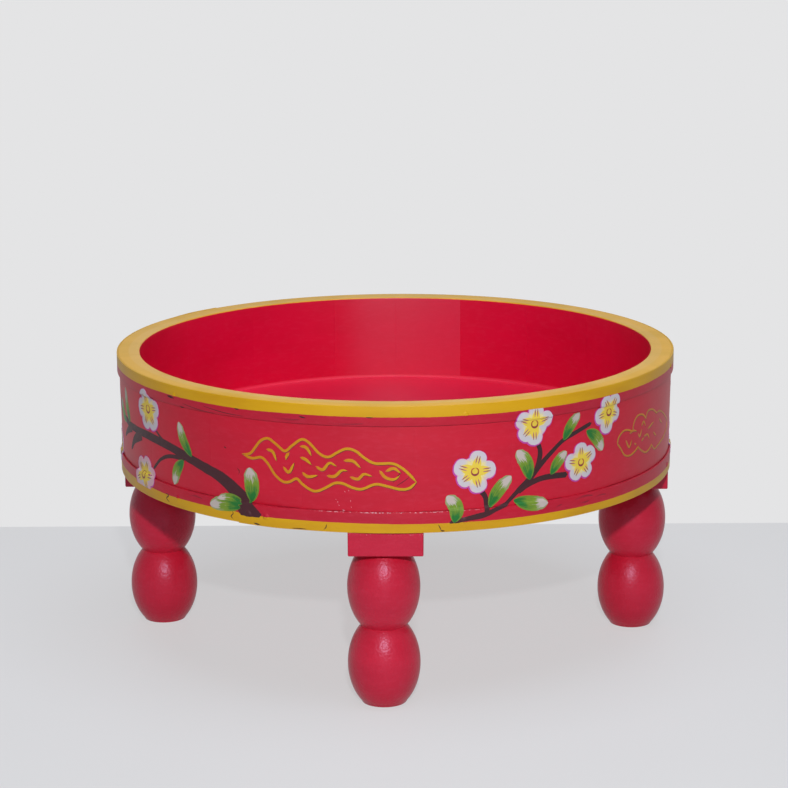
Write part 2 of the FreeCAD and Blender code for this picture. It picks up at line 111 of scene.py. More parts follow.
def loft(sections: np.ndarray, closed: bool = False) -> Shell:
    """Joins closed outlines along a path into one surface.

    Args:
        sections: points of shape (outlines, points round one outline, 3).
        closed: True where the last outline meets the first, otherwise both ends get a flat face.

    Returns:
        The surface, with U along the path and V round the outline.
    """
    rows, columns, _ = sections.shape
    last = rows if closed else rows - 1
    row = np.arange(last)[:, None]
    column = np.arange(columns)[None, :]
    after_row = (row + 1) % rows
    after_column = (column + 1) % columns
    corners = [
        row * columns + column,
        row * columns + after_column,
        after_row * columns + after_column,
        after_row * columns + column,
    ]
    quads = np.stack([corner.ravel() for corner in corners], axis=1)
    first_end = np.arange(columns)
    caps = [] if closed else [first_end[::-1], first_end + (rows - 1) * columns]
    u, v = np.meshgrid(np.linspace(0, 1, rows), np.linspace(0, 1, columns), indexing="ij")
    uv = np.stack([u.ravel(), v.ravel()], axis=1)
    return Shell(sections.reshape(-1, 3), quads, caps, uv).facing_out()


def rounded_outline(corners: Sequence[tuple[float, float, float]], steps: int = 5) -> np.ndarray:
    """A closed outline whose corners are arcs that touch both sides.

    Args:
        corners: (x, y, radius) of each corner, in order round the outline.
        steps: points on each arc.

    Returns:
        Points of shape (corners times steps, 2). Each arc is a quadratic curve from the point that
        lies the radius's tangent length before the corner to the one after it.
    """
    given = np.array(corners, float)
    place, radius = given[:, :2], given[:, 2]
    before = np.roll(place, 1, axis=0) - place
    after = np.roll(place, -1, axis=0) - place
    before /= np.linalg.norm(before, axis=1, keepdims=True)
    after /= np.linalg.norm(after, axis=1, keepdims=True)
    cosine = np.clip((before * after).sum(axis=1), -1, 0.999)
    tangent = (radius / np.tan(np.arccos(cosine) / 2))[:, None]
    start, stop = place + before * tangent, place + after * tangent
    t = np.linspace(0, 1, steps)[None, :, None]
    arc = (1 - t) ** 2 * start[:, None] + 2 * t * (1 - t) * place[:, None] + t**2 * stop[:, None]
    return arc.reshape(-1, 2)


def outline_normals(outline: np.ndarray) -> np.ndarray:
    """Unit normals of a closed plane outline that point out of it, square to the line between neighbours."""
    along = np.roll(outline, -1, axis=0) - np.roll(outline, 1, axis=0)
    normals = np.stack([along[:, 1], -along[:, 0]], axis=1)
    normals /= np.maximum(np.linalg.norm(normals, axis=1, keepdims=True), TINY)
    following = np.roll(outline, -1, axis=0)
    area = (outline[:, 0] * following[:, 1] - outline[:, 1] * following[:, 0]).sum()
    return normals if area > 0 else -normals


def turned(radius: np.ndarray, up: np.ndarray, azimuth: np.ndarray) -> np.ndarray:
    """Points at a distance from the Z axis, a height and an angle, each broadcast against the others."""
    radius, up, azimuth = np.broadcast_arrays(radius, up, azimuth)
    return np.stack([radius * np.cos(azimuth), radius * np.sin(azimuth), up], axis=-1)


def make_piece(name: str, shells: Iterable[Shell], sharp_degrees: float = 35) -> bpy.types.Object:
    """Makes one object of several surfaces, smooth except where faces meet at more than an angle.

    Args:
        name: the object's name.
        shells: its surfaces.
        sharp_degrees: faces that meet at more than this keep a sharp edge.

    Returns:
        The object, at the origin and riding on the table.
    """
    shells = list(shells)
    starts = np.cumsum([0] + [len(shell.points) for shell in shells])
    points = np.concatenate([shell.points for shell in shells])
    uv = np.concatenate([shell.uv for shell in shells])
    faces: list[list[int]] = []
    for start, shell in zip(starts, shells):
        faces += (shell.quads + start).tolist()
        faces += [(cap + start).tolist() for cap in shell.caps]
    mesh = bpy.data.meshes.new(name)
    mesh.from_pydata(points.tolist(), [], faces)
    corner_points = np.empty(len(mesh.loops), np.int64)
    mesh.loops.foreach_get("vertex_index", corner_points)
    mesh.uv_layers.new(name="paint").data.foreach_set("uv", uv[corner_points].ravel())
    mesh.shade_smooth()
    mesh.set_sharp_from_angle(angle=math.radians(sharp_degrees))
    piece = bpy.data.objects.new(name, mesh)
    bpy.context.scene.collection.objects.link(piece)
    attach(piece, BODY)
    return piece


def node_points(node: str) -> np.ndarray:
    """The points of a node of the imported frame, in metres."""
    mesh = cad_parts[node].data
    points = np.empty(len(mesh.vertices) * 3, np.float32)
    mesh.vertices.foreach_get("co", points)
    return points.reshape(-1, 3).astype(float)


# Shader graphs


def paint(red: int, green: int, blue: int) -> Colour:
    """A colour as a paint chart gives it, 0 to 255, turned into the linear values that shaders take."""
    given = np.array([red, green, blue]) / 255
    linear = np.where(given <= 0.04045, given / 12.92, ((given + 0.055) / 1.055) ** 2.4)
    return (*(round(float(value), 4) for value in linear), 1.0)


class Signal:
    """A number that varies over a surface: one output socket, with arithmetic that adds Math nodes."""

    def __init__(self, graph: "Graph", socket: bpy.types.NodeSocket) -> None:
        """Wraps a socket of a graph."""
        self.graph = graph
        self.socket = socket

    def _math(self, operation: str, *values: object) -> "Signal":
        """A Math node on the given values."""
        return self.graph.math(operation, *values)

    def __add__(self, other: object) -> "Signal":
        """Sum."""
        return self._math("ADD", self, other)

    __radd__ = __add__

    def __sub__(self, other: object) -> "Signal":
        """Difference."""
        return self._math("SUBTRACT", self, other)

    def __rsub__(self, other: object) -> "Signal":
        """Difference from a number."""
        return self._math("SUBTRACT", other, self)

    def __mul__(self, other: object) -> "Signal":
        """Product."""
        return self._math("MULTIPLY", self, other)

    __rmul__ = __mul__

    def __abs__(self) -> "Signal":
        """Size without its sign."""
        return self._math("ABSOLUTE", self)

    def over(self, low: float, high: float) -> "Signal":
        """0 below low, 1 above high and a smooth step between; low may be the larger of the two."""
        settings = {"interpolation_type": "SMOOTHSTEP", "clamp": True}
        sockets = {"Value": self, "From Min": low, "From Max": high}
        return self.graph.signal("ShaderNodeMapRange", settings, sockets)

    def both(self, other: object) -> "Signal":
        """The smaller of two masks, so only where both hold."""
        return self._math("MINIMUM", self, other)

    def either(self, other: object) -> "Signal":
        """The larger of two masks, so where one of them holds."""
        return self._math("MAXIMUM", self, other)


@dataclass(frozen=True)
class Point:
    """A point on the table, in metres: all of it, and its X, Y and height."""

    place: Signal
    across: Signal
    deep: Signal
    up: Signal


class Graph:
    """The node graph of one material."""

    def __init__(self, name: str) -> None:
        """Starts an empty material."""
        self.material = bpy.data.materials.new(name)
        self.material.use_nodes = True
        self.material.node_tree.nodes.clear()

    def node(
        self, kind: str, settings: Optional[dict] = None, sockets: Optional[dict] = None
    ) -> bpy.types.Node:
        """Adds a node.

        Args:
            kind: the node's type.
            settings: its properties, which are set before its sockets.
            sockets: values, signals or sockets by the input's name or number.

        Returns:
            The node.
        """
        made = self.material.node_tree.nodes.new(kind)
        for key, value in (settings or {}).items():
            setattr(made, key, value)
        for key, value in (sockets or {}).items():
            target = made.inputs[key]
            source = value.socket if isinstance(value, Signal) else value
            if isinstance(source, bpy.types.NodeSocket):
                self.material.node_tree.links.new(source, target)
            else:
                target.default_value = source
        return made

    def signal(self, kind: str, settings: dict, sockets: dict, output: int | str = 0) -> Signal:
        """Adds a node and wraps one of its outputs."""
        return Signal(self, self.node(kind, settings, sockets).outputs[output])

    def math(self, operation: str, *values: object) -> Signal:
        """A Math node on signals and numbers."""
        return self.signal("ShaderNodeMath", {"operation": operation}, dict(enumerate(values)))

    def place(self) -> Signal:
        """The point on the table, in metres."""
        return self.signal("ShaderNodeTexCoord", {}, {}, "Object")

    def split(self, vector: Signal) -> tuple[Signal, Signal, Signal]:
        """The three numbers of a vector."""
        parts = self.node("ShaderNodeSeparateXYZ", {}, {"Vector": vector}).outputs
        return Signal(self, parts[0]), Signal(self, parts[1]), Signal(self, parts[2])

    def point(self) -> Point:
        """The point on the table with its three numbers."""
        place = self.place()
        return Point(place, *self.split(place))

    def brush_map(self) -> tuple[Signal, Signal]:
        """The two numbers of the piece's own UV map: along the stroke and across it."""
        u, v, _ = self.split(self.signal("ShaderNodeUVMap", {"uv_map": "paint"}, {}))
        return u, v

    def noise(self, vector: Signal, grain: Grain) -> Signal:
        """Cloudy noise from 0 to 1, mostly near 0.5."""
        if grain.squeeze is not None:
            vector = self.signal("ShaderNodeMapping", {}, {"Vector": vector, "Scale": grain.squeeze})
        sockets = {"Vector": vector, "Scale": grain.scale, "Detail": grain.detail}
        return self.signal("ShaderNodeTexNoise", {}, sockets)

    def mask(self, vector: Signal, grain: Grain) -> Signal:
        """Soft patches: 1 where the noise is high."""
        return self.noise(vector, grain).over(*grain.rise)

    def mix(self, factor: object, low: object, high: object) -> Signal:
        """A colour between two colours."""
        settings = {"data_type": "RGBA"}
        return self.signal("ShaderNodeMix", settings, {0: factor, 6: low, 7: high}, 2)

    def blend(self, factor: object, pots: tuple[Pot, Pot]) -> Signal:
        """A colour between two paints."""
        return self.mix(factor, *(pot.colour for pot in pots))

    def bump(self, height: Signal, depth: float) -> Signal:
        """Normals of a relief, where a height of 1 stands a depth in metres above a height of 0."""
        return self.signal("ShaderNodeBump", {}, {"Height": height, "Distance": depth}, "Normal")

    def surface(self, inputs: dict[str, object]) -> bpy.types.NodeSocket:
        """The surface shader; underscores in input names stand for spaces."""
        sockets = {name.replace("_", " "): value for name, value in inputs.items()}
        return self.node("ShaderNodeBsdfPrincipled", {}, sockets).outputs[0]

    def finish(self, **inputs: object) -> bpy.types.Material:
        """Ends the graph with one surface shader."""
        self.node("ShaderNodeOutputMaterial", {}, {"Surface": self.surface(inputs)})
        return self.material

    def finish_stage(self, share: Signal, seen: Colour, **inputs: object) -> bpy.types.Material:
        """Ends the graph of a stage sheet, which seen, mirrored and refracted rays partly meet as one colour.

        Args:
            share: how much of that colour those rays meet; the rest is the lit surface.
            seen: the colour.
            inputs: of the surface shader.

        Returns:
            The material.
        """
        rays = self.node("ShaderNodeLightPath").outputs
        kinds = ("Is Camera Ray", "Is Glossy Ray", "Is Transmission Ray")
        camera, mirrored, refracted = (Signal(self, rays[kind]) for kind in kinds)
        glow = self.node("ShaderNodeEmission", {}, {"Color": seen, "Strength": 1.0}).outputs[0]
        meets = camera.either(mirrored).either(refracted)
        mixed = self.node("ShaderNodeMixShader", {}, {0: meets * share, 1: self.surface(inputs), 2: glow})
        self.node("ShaderNodeOutputMaterial", {}, {"Surface": mixed.outputs[0]})
        return self.material


# Finishes


class Grain(Enum):
    """Cloudy noises that vary the finishes.

    Each is its scale over a metre, its detail, the two values between which its mask rises from 0 to 1,
    and how much it is squeezed along X, Y and Z.
    """

    STREAKS = (14, 4, (0.35, 0.75), (1, 1, 5))
    BLOTCHES = (9, 3)
    WAVES = (9, 2)
    FRAYING = (160, 2)
    BRUSH_MARKS = (110, 3, (0.45, 0.75), (1, 1, 3))
    PATCHES = (60, 3, (0.42, 0.6))
    FLECKS = (420, 2)
    SPECKS = (700, 2, (0.74, 0.78))
    SWARMS = (30, 2, (0.5, 0.62))
    PIMPLES = (380, 2)
    HAIRS = (1, 2)
    SPOTS = (150, 3)
    PLATING = (400, 3)
    WOOD = (8, 4, (0, 1), (40, 6, 40))
    FLOOR = (3, 2)

    def __init__(
        self,
        scale: float,
        detail: float,
        rise: tuple[float, float] = (0, 1),
        squeeze: Optional[tuple[float, float, float]] = None,
    ) -> None:
        """Names the numbers of a noise."""
        self.scale = scale
        self.detail = detail
        self.rise = rise
        self.squeeze = squeeze


class Pot(Enum):
    """The paints that the table was painted with."""

    RED = (206, 14, 48)
    DEEP_RED = (194, 10, 44)
    OLD_RED = (180, 14, 46)
    SOILED_RED = (140, 16, 40)
    INNER_RED = (215, 0, 56)
    DEEP_INNER_RED = (207, 0, 50)
    FLOOR_RED = (224, 34, 70)
    DEEP_FLOOR_RED = (216, 26, 62)
    LEG_RED = (205, 32, 58)
    DEEP_LEG_RED = (193, 24, 50)
    # Pale red for dust and chips, and for the painted reflection on the back staves inside.
    PALE_RED = (222, 84, 112)
    YELLOW = (216, 164, 4)
    # Paler yellow of the rim's top, painted lighter where light falls on it.
    PALE_YELLOW = (234, 178, 56)
    OCHRE = (206, 152, 2)
    GOLD = (206, 132, 6)
    DULL_GOLD = (188, 120, 42)
    BARK = (64, 22, 31)
    SOOT = (46, 20, 28)
    LEAF = (24, 112, 42)
    SPRING_LEAF = (118, 148, 44)
    CHALK = (198, 186, 180)
    PETAL = (208, 202, 209)
    GLOW = (236, 222, 150)
    BLUSH = (226, 180, 190)
    LILAC = (146, 40, 150)
    MAGENTA = (190, 72, 168)
    POLLEN = (236, 208, 72)
    MAROON = (142, 52, 62)
    RUST = (186, 104, 58)
    PLUM = (176, 88, 130)
    # Dark grime, and the painted shade along the straps' edges.
    GRIME_AND_SHADE = (52, 30, 28)

    @property
    def colour(self) -> Colour:
        """The paint as a shader's colour."""
        return paint(*self.value)


@dataclass(frozen=True)
class Enamel:
    """Brushed enamel on wood or iron: red, with yellow above one level and below another.

    Lengths and heights are in metres, strengths go from 0 to 1.

    Attributes:
        name: the material's name.
        yellow_above: height over which the paint is yellow, or None.
        yellow_below: height under which it is yellow, or None.
        dark_levels: heights of the thin dark lines of painted shade beside the straps' edges.
        outside_of: distance from the axis beyond which that painted shade lies.
        painted_sheen_staves: (soft edge, sharp edge), by X, of a painted reflection on the back staves
            inside, or None.
        painted_sheen_fade: width of that painted reflection's soft edge.
        painted_sheen: its strength.
        coat: the two reds that the coat wavers between.
        inner_coat: the two reds nearer the axis than outside_of, or None.
        yellows: the two yellows of the rest.
        streak_share: share of the streaks in the mottling, the rest being blotches.
        mottle: the two values of both together between which one red passes into the other.
        dust: strength of the pale dust in the brush marks.
        roughness: of the dry paint.
        inner_roughness: of the paint nearer the axis than outside_of.
        roughness_play: how far the blotches change the roughness.
        gloss: the shader's specular level.
        glint: colour of the shader's specular tint.
        brush_depth: height of the brush marks.
        peel: height of the pimpled skin of thick paint, as a share of the brush marks'.
        wander: how far the yellow's edge strays.
        fray: how ragged that edge is.
        edge_softness: width over which it passes into the red.
        lean: rise of the lower yellow's edge over a metre of X.
        line_width: of that painted shade.
        crease_shade: its strength.
        speck_dirt: strength of the dark specks.
        worn_level: height of a line along which the paint is rubbed pale in front, or None.
        worn_width: distance from that line where the rubbing begins and where it is full.
        worn_from: value of the noise from which it is rubbed; the higher, the sparser.
        worn_rise: how much higher the noise is where it is rubbed through.
        worn_front: Y where the rubbing begins and where it is full.
        worn_left: X where it begins and is full on the left.
        worn_right: the same on the right.
        worn: its strength.
    """

    name: str
    yellow_above: Optional[float] = None
    yellow_below: Optional[float] = None
    dark_levels: tuple[float, ...] = ()
    outside_of: float = 0.0
    painted_sheen_staves: Optional[tuple[float, float]] = None
    painted_sheen_fade: float = 50 * MM
    painted_sheen: float = 0.24
    coat: tuple[Pot, Pot] = (Pot.DEEP_RED, Pot.RED)
    inner_coat: Optional[tuple[Pot, Pot]] = None
    yellows: tuple[Pot, Pot] = (Pot.YELLOW, Pot.OCHRE)
    streak_share: float = 0.4
    mottle: tuple[float, float] = (0.3, 0.7)
    dust: float = 0.07
    roughness: float = 0.48
    inner_roughness: float = 0.4
    roughness_play: float = 0.12
    gloss: float = 0.36
    glint: tuple[int, int, int] = (255, 255, 255)
    brush_depth: float = 0.05 * MM
    peel: float = 0.3
    wander: float = 0.8 * MM
    fray: float = 0.5 * MM
    edge_softness: float = 0.15 * MM
    lean: float = 0.0
    line_width: float = 0.6 * MM
    crease_shade: float = 0.5
    speck_dirt: float = 0.55
    worn_level: Optional[float] = None
    worn_width: tuple[float, float] = (0.72 * MM, 0.2 * MM)
    worn_from: float = 0.5
    worn_rise: float = 0.1
    worn_front: tuple[float, float] = (-280 * MM, -300 * MM)
    worn_left: tuple[float, float] = (-90 * MM, -50 * MM)
    worn_right: tuple[float, float] = (90 * MM, 60 * MM)
    worn: float = 0.8

    def build(self) -> bpy.types.Material:
        """Lays the coats one over another: reds with their painted reflection, dust, yellows, then painted
        shade, wear and specks.
        """
        graph = Graph(self.name)
        point = graph.point()
        streaks = graph.noise(point.place, Grain.STREAKS)
        blotches = graph.noise(point.place, Grain.BLOTCHES)
        marks = graph.noise(point.place, Grain.BRUSH_MARKS)
        pimples = graph.noise(point.place, Grain.PIMPLES)
        mottled = (streaks * self.streak_share + blotches * (1 - self.streak_share)).over(*self.mottle)
        from_axis = point.across * point.across + point.deep * point.deep
        outside = from_axis.over(self.outside_of**2, (self.outside_of + MM) ** 2)
        red = self.reds(graph, point, mottled, outside)
        dusty = graph.mix(marks.over(*Grain.BRUSH_MARKS.rise) * self.dust, red, Pot.PALE_RED.colour)
        yellow = graph.blend(streaks.over(*Grain.STREAKS.rise), self.yellows)
        colour = graph.mix(self.yellow_zone(graph, point), dusty, yellow)
        sheen = outside * (self.roughness - self.inner_roughness) + self.inner_roughness
        return graph.finish(
            Base_Color=self.shaded_and_worn(graph, point, outside, colour),
            Roughness=sheen + (blotches - NOISE_MIDDLE) * self.roughness_play,
            Specular_IOR_Level=self.gloss,
            Specular_Tint=paint(*self.glint),
            Normal=graph.bump((streaks + marks) * 0.5 + pimples * self.peel, self.brush_depth),
        )

    def reds(self, graph: Graph, point: Point, mottled: Signal, outside: Signal) -> Signal:
        """The mottled reds of both sides, with a painted reflection: paler red over some staves at the back
        of the inside.
        """
        red = graph.blend(mottled, self.coat)
        if self.inner_coat is not None:
            red = graph.mix(outside, graph.blend(mottled, self.inner_coat), red)
        if self.painted_sheen_staves is not None:
            # Paler red over the staves at the back of the inside: a painted reflection of the light.
            soft_edge, sharp_edge = self.painted_sheen_staves
            fading = point.across.over(soft_edge, soft_edge + self.painted_sheen_fade)
            painted_sheen = fading.both(point.across.over(sharp_edge, sharp_edge - MM))
            inside_back = point.deep.over(0, MM).both(1 - outside)
            red = graph.mix(painted_sheen.both(inside_back) * self.painted_sheen, red, Pot.PALE_RED.colour)
        return red

    def yellow_zone(self, graph: Graph, point: Point) -> object:
        """A mask of the yellow bands, their edges wandering and frayed, or 0 where there are none."""
        wandering = (graph.noise(point.place, Grain.WAVES) - NOISE_MIDDLE) * self.wander
        frayed = (graph.noise(point.place, Grain.FRAYING) - NOISE_MIDDLE) * self.fray
        level = point.up + wandering + frayed
        soft = self.edge_softness
        zone: object = 0.0
        if self.yellow_above is not None:
            zone = level.over(self.yellow_above - soft, self.yellow_above + soft)
        if self.yellow_below is not None:
            leaning = level - point.across * self.lean
            zone = leaning.over(self.yellow_below + soft, self.yellow_below - soft).either(zone)
        return zone

    def shaded_and_worn(self, graph: Graph, point: Point, outside: Signal, colour: Signal) -> Signal:
        """The colour with painted shade along the dark levels, the rubbed line in front, and dark specks."""
        patches = graph.mask(point.place, Grain.PATCHES)
        # Thin dark lines of painted shade where the straps' edges meet the wall.
        for dark in self.dark_levels:
            line = abs(point.up - dark).over(self.line_width, self.edge_softness)
            colour = graph.mix(line * patches * outside * self.crease_shade, colour, Pot.GRIME_AND_SHADE.colour)
        if self.worn_level is not None:
            rubbed = abs(point.up - self.worn_level).over(*self.worn_width)
            sides = point.across.over(*self.worn_left).both(point.across.over(*self.worn_right))
            in_front = point.deep.over(*self.worn_front).both(sides)
            worn_through = self.worn_from + self.worn_rise
            flecks = graph.noise(point.place, Grain.FLECKS).over(self.worn_from, worn_through)
            colour = graph.mix(rubbed * in_front * flecks * self.worn, colour, Pot.BLUSH.colour)
        specks = graph.mask(point.place, Grain.SPECKS) * graph.mask(point.place, Grain.SWARMS)
        return graph.mix(specks * self.speck_dirt, colour, Pot.GRIME_AND_SHADE.colour)


@dataclass(frozen=True)
class Brushwork:
    """A colour laid with a loaded brush: it runs through several paints along the stroke.

    Attributes:
        name: the material's name.
        stops: (share of the stroke's length, paint), in order.
        streak: how far the streaks shift the place of the colours, as a share of the length.
        hairs: how many times the streaks change along the stroke and across it.
        roughness: of the dry paint.
        roughness_play: how far the spots change the roughness.
        gloss: the shader's specular level.
        depth: height of the bristles' marks, in metres.
        hair_share: share of the streaks in those marks, the rest being spots.
        rim: a paint round the stroke's edge, or None.
        rim_from: where the rim begins, as a share of the way from the middle to the edge.
        rim_fade: share of that way over which it sets in.
        rim_waver: how far the spots shift it.
        rim_strength: from 0 to 1.
    """

    name: str
    stops: tuple[tuple[float, Pot], ...]
    streak: float = 0.25
    hairs: tuple[float, float] = (1.2, 26)
    roughness: float = 0.5
    roughness_play: float = 0.2
    gloss: float = 0.36
    depth: float = 0.2 * MM
    hair_share: float = 0.7
    rim: Optional[Pot] = None
    rim_from: float = 0.82
    rim_fade: float = 0.16
    rim_waver: float = 0.5
    rim_strength: float = 0.7

    def build(self) -> bpy.types.Material:
        """A chain of smooth mixes along U, shifted by noise that is long along U and fine across V."""
        graph = Graph(self.name)
        u, v = graph.brush_map()
        bristles = {0: u * self.hairs[0], 1: v * self.hairs[1]}
        hairs = graph.noise(graph.signal("ShaderNodeCombineXYZ", {}, bristles), Grain.HAIRS)
        spots = graph.noise(graph.place(), Grain.SPOTS)
        along = u + (hairs - NOISE_MIDDLE) * self.streak + (spots - NOISE_MIDDLE) * (self.streak / 2)
        colour: object = self.stops[0][1].colour
        for (low, _), (high, pot) in zip(self.stops, self.stops[1:]):
            colour = graph.mix(along.over(low, high), colour, pot.colour)
        if self.rim is not None:
            out = abs(v - MID_STROKE) * (1 / MID_STROKE) + (spots - NOISE_MIDDLE) * self.rim_waver
            rim = out.over(self.rim_from, self.rim_from + self.rim_fade) * self.rim_strength
            colour = graph.mix(rim, colour, self.rim.colour)
        return graph.finish(
            Base_Color=colour,
            Roughness=self.roughness + (spots - NOISE_MIDDLE) * self.roughness_play,
            Specular_IOR_Level=self.gloss,
            Normal=graph.bump(hairs * self.hair_share + spots * (1 - self.hair_share), self.depth),
        )


@dataclass(frozen=True)
class Metal:
    """Zinc-plated steel, a little dull and scratched."""

    name: str
    tint: tuple[int, int, int] = (168, 166, 160)
    metallic: float = 0.9
    roughness: float = 0.3
    roughness_play: float = 0.3

    def build(self) -> bpy.types.Material:
        """One tint mottled by noise, with roughness that follows the same noise."""
        graph = Graph(self.name)
        cloud = graph.noise(graph.place(), Grain.PLATING)
        colour = graph.mix(cloud, paint(*self.tint), Pot.GRIME_AND_SHADE.colour)
        roughness = self.roughness + cloud * self.roughness_play
        return graph.finish(Base_Color=colour, Metallic=self.metallic, Roughness=roughness)


@dataclass(frozen=True)
class BareWood:
    """Pale bare wood, for the dowels inside the floor."""

    name: str
    pale: tuple[int, int, int] = (198, 158, 108)
    brown: tuple[int, int, int] = (160, 118, 72)
    roughness: float = 0.7

    def build(self) -> bpy.types.Material:
        """Two wood tones by noise that is stretched along the grain."""
        graph = Graph(self.name)
        grain = graph.noise(graph.place(), Grain.WOOD)
        colour = graph.mix(grain, paint(*self.pale), paint(*self.brown))
        return graph.finish(Base_Color=colour, Roughness=self.roughness)


# The tub


@dataclass(frozen=True)
class Levels:
    """Heights and radii of the tub in metres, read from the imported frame."""

    foot: float
    rim: float
    foot_radius: float
    rim_radius: float
    inner_radius: float
    floor_top: float
    upper_foot: float
    lower_top: float
    lower_radius: float

    @classmethod
    def read(cls, wall: float, lap: float) -> "Levels":
        """Takes the sizes off the staves, hoops and boards.

        Args:
            wall: thickness of the staves at the rim.
            lap: how far the outer layer of a lap stands out of the strap.

        Returns:
            The levels.
        """
        staves = node_points("stave_01")
        at_foot = staves[staves[:, 2] < staves[:, 2].min() + MM]
        foot_radius = float(np.hypot(at_foot[:, 0], at_foot[:, 1]).max())
        rim_radius = float(np.hypot(staves[:, 0], staves[:, 1]).max())
        lower = node_points("lower_hoop")
        upper = node_points("upper_hoop")
        return cls(
            foot=float(staves[:, 2].min()),
            rim=float(staves[:, 2].max()),
            foot_radius=foot_radius,
            rim_radius=rim_radius,
            inner_radius=rim_radius - wall,
            floor_top=float(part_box("floor_board_2")[1].z),
            upper_foot=float(upper[:, 2].min()),
            lower_top=float(lower[:, 2].max()),
            lower_radius=float(np.hypot(lower[:, 0], lower[:, 1]).max()) - lap,
        )


@dataclass(frozen=True)
class Strap:
    """An iron strap bent once round the wall, its outer end lapped over its own inner end.

    Attributes:
        node: the node that it stands for.
        lap_azimuth: middle of the lap, in degrees from +X.
        radius: of its inner face; this and the lengths that follow are in metres.
        foot: height of its lower edge.
        top: height of its upper edge.
        thickness: of the iron.
        lap: length over which its two ends lie on each other.
        ramp: length over which the outer end climbs.
        gap: between the two layers.
        arris: rounding of its edges.
        samples: sections round the wall up to the ramp.
        climb_samples: sections over the ramp and the lap.
    """

    node: str
    lap_azimuth: float
    radius: float
    foot: float
    top: float
    thickness: float = 2 * MM
    lap: float = 42 * MM
    ramp: float = 31 * MM
    gap: float = 0.3 * MM
    arris: float = 0.5 * MM
    samples: int = 700
    climb_samples: int = 60

    @property
    def step(self) -> float:
        """How far the outer layer stands out of the inner one."""
        return self.thickness + self.gap

    @property
    def inner_end(self) -> float:
        """Azimuth of the covered end, in radians."""
        return math.radians(self.lap_azimuth) + self.lap / 2 / self.radius

    def climb(self, before_end: np.ndarray) -> np.ndarray:
        """Rise of the outer layer at an angle before the covered end: an even ramp, then level."""
        return self.step * np.clip(1 - before_end * self.radius / self.ramp, 0, 1)

    def rise_at(self, azimuth: np.ndarray, margin: float) -> np.ndarray:
        """Rise of the hoop's outside at an azimuth in radians, with a margin past the free end."""
        before_end = (azimuth - self.inner_end + math.pi) % TURN - math.pi
        on_lap = before_end > -(self.lap + margin) / self.radius
        return np.where(on_lap, self.climb(before_end), 0.0)

    def build(self) -> bpy.types.Object:
        """A rounded rectangle carried clockwise round the wall, from the covered end to the free end."""
        half = self.thickness / 2
        section = rounded_outline(
            (
                (-half, self.foot, self.arris),
                (half, self.foot, self.arris),
                (half, self.top, self.arris),
                (-half, self.top, self.arris),
            ),
            steps=4,
        )
        ramp_start = TURN - self.ramp / self.radius
        free_end = TURN + self.lap / self.radius
        level = np.linspace(0, ramp_start, self.samples, endpoint=False)
        passed = np.concatenate([level, np.linspace(ramp_start, free_end, self.climb_samples)])
        rise = self.climb(TURN - passed)
        reach = self.radius + half + rise[:, None] + section[None, :, 0]
        points = turned(reach, section[None, :, 1], (self.inner_end - passed)[:, None])
        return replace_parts(make_piece(f"{self.node}_strap", [loft(points)]), self.node)


